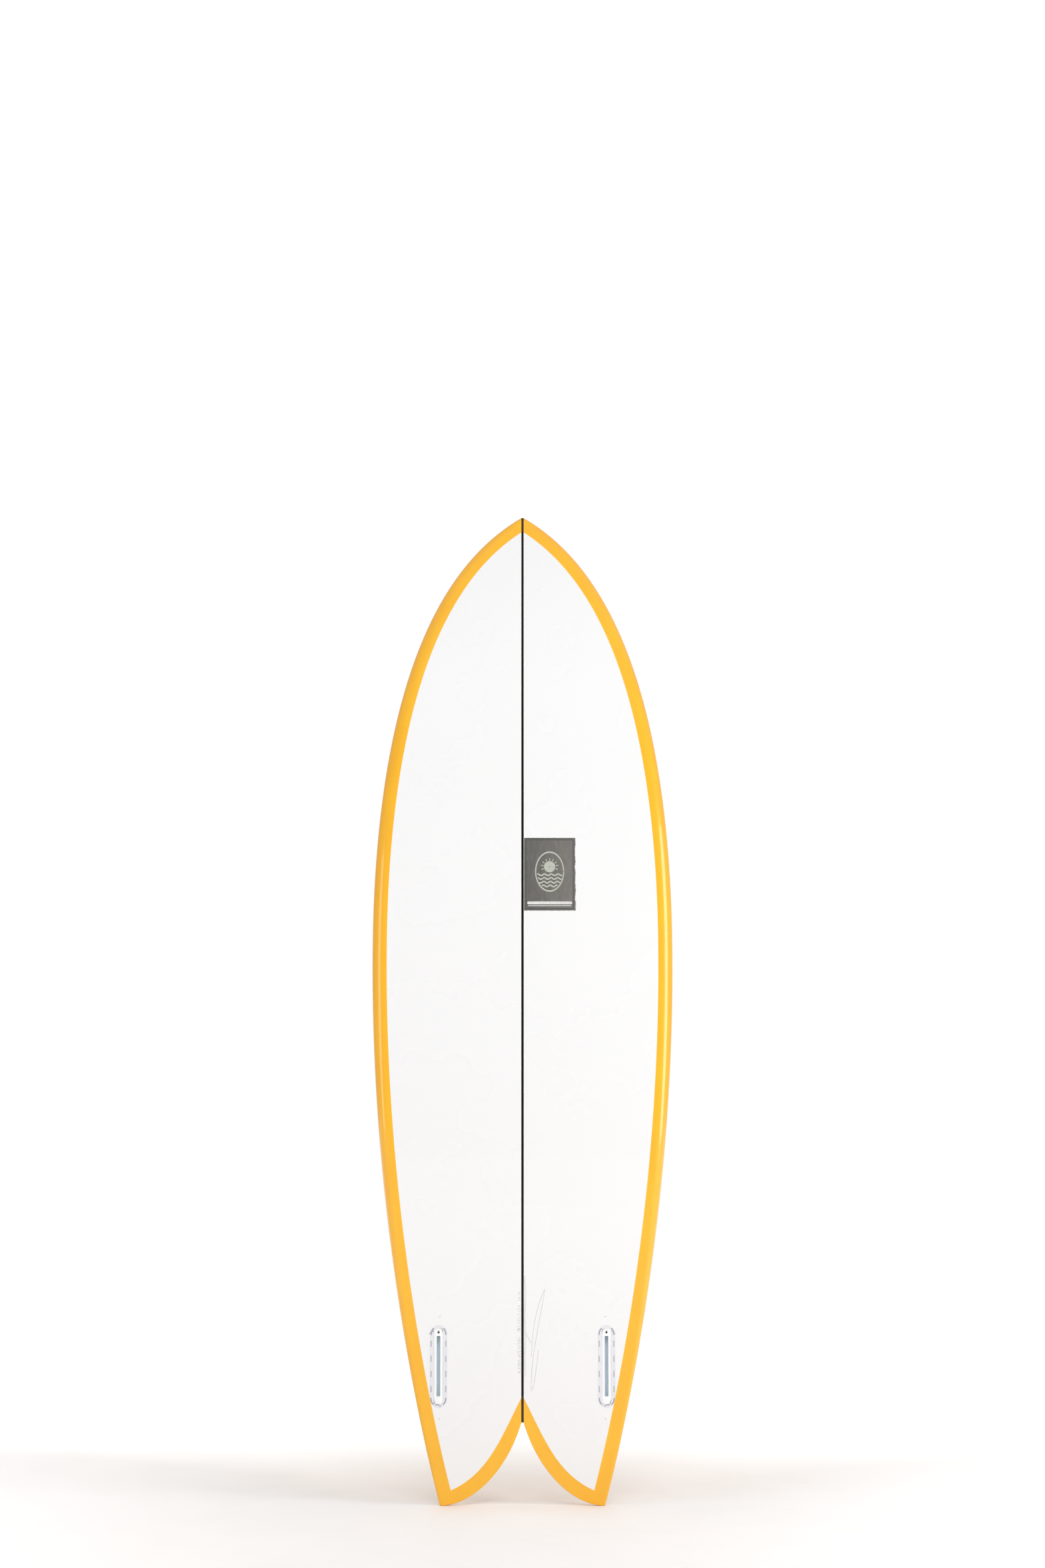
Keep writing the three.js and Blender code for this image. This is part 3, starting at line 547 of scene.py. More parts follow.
# Band beside the rail on the bottom. Round the nose it starts at the stringer's middle.
lap_start = np.where((rail_shares < corner_share)[:, None], band_inner(rail_shares), band_corner)
crossing = np.clip(-lap_start[:, 0] / np.maximum(rail_points[:, 0] - lap_start[:, 0], 1e-9), 0.0, 1.0)
lap_start = lap_start + (rail_points - lap_start) * crossing[:, None]
lap_start[0] = rail_points[0]
lap_beside = past_stringer(lap_start, rail_points)
round_rail = np.sin(np.linspace(0.0, math.pi / 2, ACROSS_BAND))
patches = [
    (rows(lap_start, lap_beside, np.array([0.0, 0.5, 1.0]), bottom_height, False), 1),
    (rows(lap_beside, rail_points, round_rail, bottom_height, True), 0),
]

# Deck, from the stringer's middle or the notch's rim out to the rail.
deck_inner = np.concatenate([
    np.stack([0.0 * board_rows[:-1], rail(board_rows[:-1])[:, 1]], axis=1), inner(leg_rows)])
on_rim = np.concatenate([np.zeros(len(board_rows) - 1, bool), leg_rows >= apex_share - 1e-12])
rim_side = np.concatenate([np.zeros((len(board_rows) - 1, 2)), inner(leg_rows, "side")])
wall = deck_height(*deck_inner.T) - bottom_height(*deck_inner.T)
rim_radius = np.where(on_rim, np.minimum(RIM, 0.45 * wall), 0.0)
rim_radius[-1] = 0.0
deck_start = deck_inner + rim_side * rim_radius[:, None]
deck_beside = past_stringer(deck_start, rail_points)
over_deck = np.sin(np.linspace(0.0, math.pi / 2, ACROSS_DECK)) ** (2.0 / DECK_POWER)
patches += [
    (rows(deck_start, deck_beside, np.array([0.0, 0.5, 1.0]), deck_height, False), 1),
    (rows(deck_beside, rail_points, over_deck, deck_height, True), 0),
]

# Band over the notch, from its V-shaped edge down to the rim, then the rim and the wall of the cut.
rim_rows = np.nonzero(on_rim)[0]
rim_shares = leg_rows[rim_rows - (len(board_rows) - 1)]
rim_at, rim_in, rim_r = deck_inner[rim_rows], rim_side[rim_rows], rim_radius[rim_rows]
v_beside = band_v.share_at(0, HALF_STRINGER)
v_shares = np.interp(rim_shares, [apex_share, beside_share, foot_share, 1.0], [0.0, v_beside, 1.0, 1.0])
over_stringer = rim_shares < beside_share + 1e-9
v_points = band_v(v_shares)
v_points[over_stringer, 0] = rim_at[over_stringer, 0]
v_points[over_stringer, 1] = np.interp(rim_at[over_stringer, 0], band_v.at[:, 0], band_v.at[:, 1])
lip = rim_at + rim_in * rim_r[:, None]
lip[over_stringer, 0] = rim_at[over_stringer, 0]
notch_band = rows(v_points, lip, round_rail, bottom_height, False)
notch_band[-1, -1] = places(*rail_points[-1:, 0], rail_line(rail_points[-1, 1]), rail_points[-1, 1])
turns = np.linspace(0.0, math.pi / 2, RIM_STEPS)
low_y, high_y = bottom_height(*lip.T), deck_height(*deck_start[rim_rows].T)
low_y[-1] = high_y[-1] = rail_line(rail_points[-1, 1])
profile = []
for turn in turns:
    at = rim_at + (lip - rim_at) * (1.0 - math.sin(turn))
    profile.append(places(at[:, 0], low_y + rim_r * (1.0 - math.cos(turn)), at[:, 1]))
for turn in turns[::-1]:
    at = rim_at + (deck_start[rim_rows] - rim_at) * (1.0 - math.sin(turn))
    profile.append(places(at[:, 0], high_y - rim_r * (1.0 - math.cos(turn)), at[:, 1]))
rim_grid = np.stack(profile, axis=1)
strip_rows = int(over_stringer.sum())
patches += [
    (notch_band[:strip_rows], 1),
    (notch_band[strip_rows - 1:], 0),
    (rim_grid[:strip_rows], 1),
    (rim_grid[strip_rows - 1:], 0),
]
patches += [(mirrored(grid), mark) for grid, mark in patches]
mesh = patchwork("tinted_glass", patches, (0.0, 1.0, 0.0))


def cut(body_mesh, cutter_meshes, glass=0.0):
    """Gives a mesh its thickness and takes the cutters' shapes out of it."""
    body = bpy.data.objects.new("uncut", body_mesh)
    bpy.context.scene.collection.objects.link(body)
    if glass:
        thick = body.modifiers.new("glass", "SOLIDIFY")
        thick.thickness = glass * MM
        thick.offset = -1.0
    cutters = []
    for shape_mesh in cutter_meshes:
        cutter = bpy.data.objects.new("cutter", shape_mesh)
        bpy.context.scene.collection.objects.link(cutter)
        removal = body.modifiers.new("cut", "BOOLEAN")
        removal.operation = "DIFFERENCE"
        removal.solver = "EXACT"
        removal.object = cutter
        cutters.append(cutter)
    bpy.context.view_layer.update()
    cut_mesh = bpy.data.meshes.new_from_object(body.evaluated_get(bpy.context.evaluated_depsgraph_get()))
    for used in [body, *cutters]:
        bpy.data.objects.remove(used)
    return cut_mesh


def spun(name, profile, centre, axis, segments=64, side_at=None):
    """Turns (radius, height) pairs about an axis. side_at(turn, radius, row) may change a radius."""
    axis = Vector(axis).normalized()
    first = axis.orthogonal().normalized() if abs(axis.x) > 0.9 else Vector((1.0, 0.0, 0.0))
    second = axis.cross(first)
    grid = np.zeros((len(profile), segments + 1, 3))
    for row, (radius, height) in enumerate(profile):
        for step in range(segments + 1):
            turn = 2.0 * math.pi * (step % segments) / segments
            reach = side_at(turn, radius, row) if side_at else radius
            at = Vector(centre) + axis * height + (first * math.cos(turn) + second * math.sin(turn)) * reach
            grid[row, step] = places(at.x, at.y, at.z)
    return patchwork(name, [(grid, 0)], None)


plug_cutter = spun("plug_cutter", [(0, -20), (LEASH_PLUG_RADIUS, -20), (LEASH_PLUG_RADIUS, 10), (0, 10)],
                   LEASH_RIM_CENTRE, LEASH_NORMAL)
mesh = cut(mesh, [plug_cutter], GLASS)



def woven(paint, warp, weft, **unevenness):
    """The weave of a cloth, from a scale for its threads each way."""
    across, along = [paint.node("TexWave", {"bands_direction": way},
                                {"Vector": paint.where(), "Scale": scale, **unevenness})
                     for way, scale in (("X", warp), ("Z", weft))]
    return (across + along) * 0.5


material, shader, paint = finish("orange_tinted_glass", Coat_Weight=1.0, Coat_Roughness=0.08, Coat_IOR=1.42,
                                 Specular_IOR_Level=0.35)
cloud = paint.ease(paint.noise(11.0, 4.0), 0.30, 0.72)
streak = paint.ease(paint.noise(60.0, 3.0, (1.0, 1.0, 0.25)), 0.35, 0.70)
weave = woven(paint, GLASS_THREADS, GLASS_THREADS)
tone = paint.mix(cloud * 0.30 + streak * 0.14 + weave * 0.06, TINT, TINT_DEEP)
turned_away = paint.node("LayerWeight", inputs={"Blend": 0.5}, out="Facing")
tone = paint.mix(turned_away * turned_away * 0.8, tone, TINT_ASLANT)
paint_on(shader, Base_Color=tone, Roughness=0.26 + 0.06 * cloud, Normal=paint.bump(weave, 0.03, 0.0001))
tinted_glass = material
material, shader, paint = finish("tint_over_stringer", Coat_Weight=1.0, Coat_Roughness=0.08, Coat_IOR=1.3,
                                 Specular_IOR_Level=0.1)
grain = paint.ease(paint.noise(700.0, 4.0, (1.0, 1.0, 0.04)), 0.3, 0.75)
tone = paint.mix(grain * 0.6, TINT_OVER_STRINGER, shaded(TINT_OVER_STRINGER, 1.9))
paint_on(shader, Base_Color=tone, Roughness=0.28 + 0.1 * grain)
shell = piece("deck_and_rail_glass", mesh, [tinted_glass, material])
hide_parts("deck_laminate")


# ---- Clear bottom ----
# Clear glass cloth over the white foam, between the coloured bands and the stringer, hot coated and glossed.
# The fin boxes' faces come through it, so it is cut away round them.
BOX_CENTRE = (151.0, 0.0, 244.0)  # the right one's; the left is its mirror image
BOSS = (16.1, 132.6)
BOSS_CORNER = 3.5
BOSS_GAP = 0.3  # the glass is cut this much wider and longer
BOX_FACE = -0.03809 / MM + MID_HEIGHT  # height of the boss's face at its middle
BOX_NORMAL = Vector((0.0, -0.99681, -0.07985))
BOX_ALONG = Vector((0.0, -0.07985, 0.99681))
WHITE = (0.868, 0.868, 0.870)
WHITE_SHADE = (0.858, 0.860, 0.865)
UNDER_GLASS = {"Coat_Weight": 1.0, "Coat_Roughness": 0.03, "Coat_IOR": 1.5}


def box_place(side, across, along, out):
    """A point from a fin box's own directions: across the board, along the slot, and out of the face."""
    middle = Vector((side * BOX_CENTRE[0] + across, BOX_FACE, BOX_CENTRE[2]))
    return middle + BOX_ALONG * along + BOX_NORMAL * out


def oblong(width, length, radius, count=96):
    """Points round an oblong with rounded corners, evenly spaced, its length along the second number."""
    loop = []
    for quarter, (to_side, to_end) in enumerate(((1, 1), (-1, 1), (-1, -1), (1, -1))):
        for turn in np.radians(np.linspace(90 * quarter, 90 * quarter + 90, 16)):
            loop.append((to_side * (width / 2 - radius) + radius * math.cos(turn),
                         to_end * (length / 2 - radius) + radius * math.sin(turn)))
    loop = np.array(loop + loop[:1])
    share = np.concatenate([[0.0], np.cumsum(np.linalg.norm(np.diff(loop, axis=0), axis=1))])
    even = np.linspace(0.0, share[-1], count + 1)
    return np.stack([np.interp(even, share, loop[:, k]) for k in (0, 1)], axis=1)


def stack(name, side, loop, levels):
    """A capped solid from one loop repeated at (shrink, out) levels of a fin box."""
    grid = []
    for shrink, out in levels:
        scaled = loop * (1.0 - 2.0 * shrink / np.ptp(loop, axis=0))
        grid.append([places(*box_place(side, a, b, out)) for a, b in scaled])
    for end in (0, -1):
        middle = [places(*box_place(side, 0.0, 0.0, levels[end][1]))] * len(loop)
        grid = [middle] + grid if end == 0 else grid + [middle]
    return patchwork(name, [(np.array(grid), 0)], None)


panel_rows = rail_shares[(band_inner(rail_shares)[:, 0] > HALF_STRINGER) & (rail_shares < legs_share)]
nose_v = float(np.interp(HALF_STRINGER, band_edge[:6000, 0], rail.share[:6000]))
panel_rows = np.concatenate([[nose_v], panel_rows])
upper_end = band_inner(panel_rows)
upper_start = np.stack([0.0 * panel_rows + HALF_STRINGER, upper_end[:, 1]], axis=1)
tail_path_at = np.concatenate([np.linspace(upper_start[-1], band_v(np.array([v_beside]))[0], 200),
                               band_v(np.linspace(v_beside, 1.0, 2000))[1:]])
tail_path = Path(tail_path_at, tail_path_at)
v_share = float(tail_path.share[199])
lower = np.unique(np.concatenate([np.linspace(0.0, v_share, 10), np.linspace(v_share, 1.0, 90)]))
lower_end = band_inner(panel_rows[-1] + (corner_share - panel_rows[-1]) * lower)
panel_start = np.concatenate([upper_start[:-1], tail_path(lower)])
panel_end = np.concatenate([upper_end[:-1], lower_end])
right_half = rows(panel_start, panel_end, np.linspace(0.0, 1.0, 33), bottom_height, False)
boss_hole = oblong(BOSS[0] + BOSS_GAP, BOSS[1] + BOSS_GAP, BOSS_CORNER)
shape = bmesh.new()
for side, grid in ((-1, mirrored(right_half)), (1, right_half)):
    cutter = stack("boss_cutter", side, boss_hole, ((0, -9), (0, 9)))
    shape.from_mesh(cut(patchwork("panel", [(grid, 0)], (0.0, -1.0, 0.0)), [cutter], GLASS))
mesh = bpy.data.meshes.new("clear_bottom")
shape.to_mesh(mesh)
shape.free()

material, shader, paint = finish("clear_glass_over_foam", Specular_IOR_Level=0.35, **UNDER_GLASS)
cloud = paint.ease(paint.noise(7.0, 3.0), 0.30, 0.75)
weave = woven(paint, GLASS_THREADS, GLASS_THREADS)
tone = paint.mix(cloud * 0.3 + weave * 0.15, WHITE, WHITE_SHADE)
paint_on(shader, Base_Color=tone, Roughness=0.24 + 0.06 * cloud, Normal=paint.bump(weave, 0.02, 0.0001))
clear_bottom = piece("bottom_glass", mesh, [material])
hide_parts("bottom_laminate")


# ---- Fin boxes ----
# Moulded nylon boxes set in routed holes, one for each keel fin. The boss's face is sanded flush with the
# bottom, and the flange round it lies under the glass, with slots that the bonding resin keys into.
# The slot's walls are painted a darker grey-blue than the nylon: painted shade of the slot's depth.
SLOT = (6.4, 107.0, 14.5)
BOX_DEPTH = 17.0
FACE_EASE = 0.25
FLANGE = (33.7, 147.3)
PROUD = 0.05  # what is seen under the glass stands this far out of it
KEY_WIDTH, KEY_LENGTH, KEY_LINE, KEY_PITCH, KEY_ROWS = 2.3, 11.4, 13.2, 26.52, 4
CORNER_KEY = (-4.0, 46.0)  # its ends, in degrees from square to the slot
RIPPLE_HEIGHT = 176.0  # a short run of resin at the boss's foot
GATE, GATE_PLACE = 1.9, -58.4  # the small moulding gate's mark behind the slot
# The inside of the screw hole is painted near black: painted shade of the deep hole.
SCREW_HOLE = 2.2  # radius
HOLE_END = 7.4  # past the screw's middle, into the slot
NEAR = 0.35  # faces this near the slot are taken as its walls
SCREW_AXIS = Vector((0.0, -0.81492, 0.57957))
SCREW_CENTRE = (151.0, -0.03789 / MM + MID_HEIGHT, 301.01)
NYLON = (0.93, 0.935, 0.94)
# painted shade: the colour of the slot's walls, darker than the nylon where the slot is deep
SLOT_WALLS_IN_PAINTED_SHADE = (0.74, 0.82, 0.87)
# painted shade: the screw hole's inside, near black, with faint thread ridges
THREADED_HOLE_SHADE = (0.018, 0.012, 0.008)
FLANGE_COLOUR = (0.745, 0.755, 0.80)
KEY_COLOUR = (0.40, 0.40, 0.45)
CORNER_KEY_COLOUR = (0.27, 0.27, 0.33)


def laid(outline, lift):
    """Plan points laid on the bottom face, standing a little proud of it."""
    return places(outline[..., 0], bottom_height(outline[..., 0], outline[..., 1]) - lift, outline[..., 1])


def inlay(name, grids, lift, depth=0.3):
    """Thin closed pieces on the bottom from grids of plan points, each with a material's number."""
    patches = []
    for grid, mark in grids:
        top, under = laid(grid, lift), laid(grid, lift - depth)
        patches += [(top, mark), (under, mark)]
        for edge in (np.s_[0, :], np.s_[-1, :], np.s_[:, 0], np.s_[:, -1]):
            patches.append((np.stack([top[edge], under[edge]]), mark))
    return patchwork(name, patches, None, weld=5e-7)


def stroke(line, width, ends=5):
    """A grid over a plan line with round ends, as wide as a pen or cutter leaves it."""
    line = np.asarray(line, float)
    way = np.gradient(line, axis=0)
    way /= np.linalg.norm(way, axis=1, keepdims=True)
    side = np.stack([-way[:, 1], way[:, 0]], axis=1)
    half = np.full(len(line), width / 2.0)
    cap = np.radians(np.linspace(0.0, 80.0, ends))
    first = line[0] - way[0] * (width / 2.0) * np.sin(cap)[::-1, None]
    last = line[-1] + way[-1] * (width / 2.0) * np.sin(cap)[:, None]
    line = np.concatenate([first, line[1:-1], last])
    side = np.concatenate([np.repeat(side[:1], ends, 0), side[1:-1], np.repeat(side[-1:], ends, 0)])
    half = np.concatenate([half[0] * np.cos(cap)[::-1], half[1:-1], half[0] * np.cos(cap)])
    return np.stack([line + side * (half * k)[:, None] for k in (-1.0, 0.0, 1.0)], axis=1)


material, shader, paint = finish("moulded_nylon", Specular_IOR_Level=0.4)
mottle = paint.ease(paint.noise(220.0, 4.0), 0.35, 0.7)
scuff = paint.ease(paint.noise(900.0, 3.0, (1.0, 1.0, 0.1)), 0.55, 0.8)
paint_on(shader, Base_Color=paint.mix(mottle * 0.5, NYLON, shaded(NYLON, 0.97)),
         Roughness=0.34 + 0.12 * mottle + 0.1 * scuff, Normal=paint.bump(mottle, 0.08, 0.0002))
nylon = material
# The slot's walls: nylon darkened to grey-blue, painted shade of the slot.
material, shader, paint = finish("slot_walls_painted_shade", Specular_IOR_Level=0.3)
mottle = paint.noise(300.0, 3.0)
paint_on(shader, Base_Color=paint.mix(mottle, SLOT_WALLS_IN_PAINTED_SHADE, shaded(SLOT_WALLS_IN_PAINTED_SHADE, 1.12)),
         Roughness=0.45 + 0.15 * mottle)
slot_walls_painted_shade = material
# The screw hole's inside: painted shade, near black, with faint thread ridges.
material, shader, paint = finish("threaded_hole_painted_shade", Specular_IOR_Level=0.2)
ridges = paint.node("TexWave", {"bands_direction": "Z"}, {"Vector": paint.where(), "Scale": 450.0})
paint_on(shader, Base_Color=paint.mix(ridges, THREADED_HOLE_SHADE, shaded(THREADED_HOLE_SHADE, 1.8)),
         Roughness=0.5 + 0.2 * ridges)
threaded_hole_painted_shade = material
material, shader, paint = finish("flange_under_glass", **UNDER_GLASS)
across = paint.sum("ABSOLUTE", paint.sum("ABSOLUTE", paint.along("X")) - BOX_CENTRE[0])
lengthways = paint.sum("MAXIMUM", paint.sum("ABSOLUTE", paint.along("Z") - BOX_CENTRE[2])
                       - (FLANGE[1] - FLANGE[0]) / 2, 0.0)
from_line = (across * across + lengthways * lengthways) ** 0.5
mottle = paint.ease(paint.noise(90.0, 4.0), 0.3, 0.75)
soft_edge = 1.0 - paint.ease(from_line, FLANGE[0] / 2 - 2.4, FLANGE[0] / 2 - 0.2)
rim_shade = paint.ease(from_line, FLANGE[0] / 2 - 4.2, FLANGE[0] / 2 - 2.0) * soft_edge
tone = paint.mix(soft_edge * (0.80 + 0.20 * mottle), WHITE, FLANGE_COLOUR)
tone = paint.mix(rim_shade * 0.35, tone, shaded(FLANGE_COLOUR, 0.88))
paint_on(shader, Base_Color=tone, Roughness=0.26 + 0.08 * mottle)
flange_under_glass = material
key_finishes = []
for name, colour in (("resin_key", KEY_COLOUR), ("resin_corner_key", CORNER_KEY_COLOUR)):
    material, shader, paint = finish(name, **UNDER_GLASS)
    mottle = paint.ease(paint.noise(700.0, 3.0), 0.3, 0.7)
    paint_on(shader, Base_Color=paint.mix(mottle * 0.55, colour, shaded(colour, 1.5)),
             Roughness=0.28 + 0.1 * mottle)
    key_finishes.append(material)

for side, which in ((-1, "left"), (1, "right")):
    levels = ((FACE_EASE + 0.6, -BOX_DEPTH), (0.0, -BOX_DEPTH + 0.8), (0.0, -FACE_EASE),
              (FACE_EASE * 0.3, -FACE_EASE * 0.3), (FACE_EASE, 0.0))
    boss = stack("boss", side, oblong(*BOSS, BOSS_CORNER), levels)
    slot_levels = ((0.0, -SLOT[2]), (0.0, -0.3), (-0.3, 0.3))
    slot = stack("slot_cutter", side, oblong(SLOT[0], SLOT[1], 0.5), slot_levels)
    hole_centre = Vector((side * SCREW_CENTRE[0], *SCREW_CENTRE[1:]))
    hole = spun("hole_cutter", [(0, -HOLE_END), (SCREW_HOLE, -HOLE_END), (SCREW_HOLE, 9), (0, 9)],
                hole_centre, SCREW_AXIS, 32)
    gate = stack("gate_cutter", side, oblong(GATE, GATE, 0.94, 24), ((0, -0.3), (0, 0.4)))
    gate.transform(Matrix.Translation(BOX_ALONG * (GATE_PLACE * MM)))
    mesh = cut(boss, [slot, hole, gate])
    marks = []
    for face in mesh.polygons:
        at = Vector(face.center) / MM
        from_face = at - Vector((side * BOX_CENTRE[0], BOX_FACE - MID_HEIGHT, BOX_CENTRE[2]))
        out, lengthways = from_face.dot(BOX_NORMAL), from_face.dot(BOX_ALONG)
        in_slot = abs(from_face.x) < SLOT[0] / 2 + NEAR and abs(lengthways) < SLOT[1] / 2 + NEAR
        off_axis = at - hole_centre
        off_axis -= SCREW_AXIS * off_axis.dot(SCREW_AXIS)
        in_hole = off_axis.length < SCREW_HOLE + 0.1 and out < -0.05
        # Faces on the slot's walls get the slot's painted shade, and faces in the screw hole the hole's
        # painted shade.
        marks.append(1 if in_slot and out < -NEAR else 2 if in_hole else 0)
    mesh.polygons.foreach_set("material_index", marks)
    body = piece(f"fin_box_{which}_boss", mesh, [nylon, slot_walls_painted_shade, threaded_hole_painted_shade])
    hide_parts(f"fin_box_{which}")

    shares = np.linspace(0.0, 1.0, 9)[:, None, None]
    ring = oblong(BOSS[0] + 0.2, BOSS[1] + 0.2, BOSS_CORNER, 160) * (1 - shares)
    ring = ring + shares * oblong(*FLANGE, FLANGE[0] / 2, 160)
    ring = ring + (BOX_CENTRE[0], BOX_CENTRE[2])
    edge_x = np.interp(ring[..., 1], band_edge[::-1, 1], band_edge[::-1, 0])
    ring[..., 0] = np.minimum(ring[..., 0], edge_x - 0.05)
    ring[..., 0] *= side
    flange = piece(f"fin_box_{which}_flange", inlay("flange", [(ring, 0)], PROUD), [flange_under_glass])

    keys = []
    for row in range(KEY_ROWS):
        for hand in (-1, 1):
            middle = np.array([side * BOX_CENTRE[0] + hand * KEY_LINE,
                               BOX_CENTRE[2] + (row - (KEY_ROWS - 1) / 2) * KEY_PITCH])
            reach = (KEY_LENGTH - KEY_WIDTH) / 2
            keys.append((stroke(middle + np.outer(np.linspace(-reach, reach, 7), (0.0, 1.0)), KEY_WIDTH), 0))
    for end in (-1, 1):
        for hand in (-1, 1):
            turn = np.radians(np.linspace(*CORNER_KEY, 12))
            bend = np.stack([hand * KEY_LINE * np.cos(turn), end * KEY_LINE * np.sin(turn)], axis=1)
            middle = (side * BOX_CENTRE[0], BOX_CENTRE[2] + end * (FLANGE[1] - FLANGE[0]) / 2)
            keys.append((stroke(bend + middle, KEY_WIDTH * 0.9), 1))
    ripple, _ = curve([(-4.2, -1.5), (-1.0, -2.2), (0.2, 3.2), (4.4, -0.2)], np.linspace(0.0, 1.0, 24))
    keys.append((stroke(ripple * (side, 1.0) + (side * BOX_CENTRE[0], RIPPLE_HEIGHT), 1.5), 1))
    key_piece = piece(f"fin_box_{which}_keys", inlay("keys", keys, PROUD + 0.04), key_finishes)


# ---- Fin screws ----
# A stainless grub screw in each box, threaded in at a slant from ahead of the slot to lock the fin's tab.
# Its hexagon socket faces out of the hole.
# Its steel is painted dark brown-grey: painted shade of the hole it sits in.
SCREW_RADIUS, SCREW_LENGTH, SCREW_CHAMFER = 1.9, 8.0, 0.4
THREAD_PITCH, THREAD_DEPTH = 0.7, 0.28
SOCKET_FLATS, SOCKET_DEPTH = 2.0, 2.5
# painted shade: stainless darkened where it sits deep in the hole
STEEL = (0.17, 0.13, 0.11)

half_length = SCREW_LENGTH / 2
outline = [(0.0, -half_length), (SCREW_RADIUS - SCREW_CHAMFER, -half_length)]
turns = int((SCREW_LENGTH - 2 * SCREW_CHAMFER) / THREAD_PITCH)
for k in range(turns):
    foot = -half_length + SCREW_CHAMFER + k * THREAD_PITCH
    outline += [(SCREW_RADIUS - THREAD_DEPTH, foot), (SCREW_RADIUS, foot + 0.3 * THREAD_PITCH),
                (SCREW_RADIUS, foot + 0.45 * THREAD_PITCH),
                (SCREW_RADIUS - THREAD_DEPTH, foot + 0.75 * THREAD_PITCH)]
head_row = len(outline)
outline += [(SCREW_RADIUS - 0.1, half_length - SCREW_CHAMFER), (SCREW_RADIUS - SCREW_CHAMFER, half_length),
            (SOCKET_FLATS / 2 + 0.18, half_length), (SOCKET_FLATS / 2, half_length - 0.15),
            (SOCKET_FLATS / 2, half_length - SOCKET_DEPTH), (0.0, half_length - SOCKET_DEPTH - 0.4)]


def hexagon(turn, radius, row):
    """Makes the socket's rows six-sided."""
    if row < head_row + 2 or radius == 0.0:
        return radius
    return radius / math.cos((turn + math.pi / 6) % (math.pi / 3) - math.pi / 6)


def worked_steel(name, colour, roughness, stretch):
    """Stainless with fine tool marks, drawn out along one axis by the stretch."""
    material, shader, paint = finish(name, Metallic=1.0)
    marks = paint.noise(2600.0, 3.0, stretch)
    paint_on(shader, Base_Color=paint.mix(marks, colour, shaded(colour, 1.2)),
             Roughness=roughness + 0.2 * marks, Normal=paint.bump(marks, 0.1, 0.00005))
    return material


# The grub screw's steel in painted shade.
grub_steel_in_shade = worked_steel("dark_grub_screw", STEEL, 0.30, (1.0, 1.0, 1.0))
for side, which in ((-1, "left"), (1, "right")):
    centre = Vector((side * SCREW_CENTRE[0], *SCREW_CENTRE[1:]))
    mesh = spun("grub_screw", outline, centre, SCREW_AXIS, 48, hexagon)
    screw = piece(f"fin_screw_{which}_grub", mesh, [grub_steel_in_shade], f"screw_{which}", 30.0)
    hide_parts(f"fin_screw_{which}")


# ---- Leash plug ----
# A moulded plastic cup sunk in the deck near the notch, set in a drilled hole in resin.
# A steel bar crosses it, and the leash string loops under the bar.
CUP_RADIUS, CUP_DEPTH, CUP_FILLET, CUP_LIP = 11.2, 14.5, 1.2, 0.7
PLUG_RADIUS, PLUG_DEPTH, PLUG_CHAMFER = LEASH_PLUG_RADIUS - 0.05, 18.0, 0.8
BAR_RADIUS, BAR_REACH, BAR_DEPTH, BAR_CHAMFER = 2.25, 13.2, 5.4, 0.3
BAR_STEEL = (0.52, 0.51, 0.50)

outline = [(0.0, -CUP_DEPTH), (CUP_RADIUS - CUP_FILLET, -CUP_DEPTH),
           (CUP_RADIUS - 0.3 * CUP_FILLET, -CUP_DEPTH + 0.3 * CUP_FILLET),
           (CUP_RADIUS, -CUP_DEPTH + CUP_FILLET), (CUP_RADIUS, -CUP_LIP),
           (CUP_RADIUS + 0.3 * CUP_LIP, -0.3 * CUP_LIP), (CUP_RADIUS + CUP_LIP, 0.0),
           (PLUG_RADIUS - CUP_LIP, 0.0), (PLUG_RADIUS - 0.3 * CUP_LIP, -0.3 * CUP_LIP),
           (PLUG_RADIUS, -CUP_LIP), (PLUG_RADIUS, -PLUG_DEPTH + PLUG_CHAMFER),
           (PLUG_RADIUS - PLUG_CHAMFER, -PLUG_DEPTH), (0.0, -PLUG_DEPTH)]
mesh = spun("leash_plug", outline, LEASH_RIM_CENTRE, LEASH_NORMAL, 96)
material, shader, paint = finish("white_cup_plastic", Specular_IOR_Level=0.45)
mottle = paint.ease(paint.noise(260.0, 4.0), 0.35, 0.7)
paint_on(shader, Base_Color=paint.mix(mottle * 0.6, NYLON, shaded(NYLON, 0.95)),
         Roughness=0.36 + 0.14 * mottle, Normal=paint.bump(mottle, 0.08, 0.0002))
cup = piece("leash_plug_cup", mesh, [material])
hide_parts("leash_cup")
bar_centre = Vector(LEASH_RIM_CENTRE) - LEASH_NORMAL * BAR_DEPTH
bar_end = [(0.0, -BAR_REACH), (BAR_RADIUS - BAR_CHAMFER, -BAR_REACH), (BAR_RADIUS, -BAR_REACH + BAR_CHAMFER)]
outline = bar_end + [(BAR_RADIUS, along) for along in np.linspace(-BAR_REACH + 1.0, BAR_REACH - 1.0, 12)]
outline += [(radius, -height) for radius, height in bar_end[::-1]]
mesh = spun("leash_bar", outline, bar_centre, (1.0, 0.0, 0.0), 48)
bar = piece("leash_plug_bar", mesh, [worked_steel("drawn_stainless", BAR_STEEL, 0.26, (0.03, 1.0, 1.0))])
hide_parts("leash_bar")


# ---- Resin round the boxes and plug ----
# Cured resin that fills the gap between each routed hole and what is set in it, with a few trapped bubbles.
# The CAD solids stay.
RESIN_COLOUR = (0.84, 0.82, 0.76)

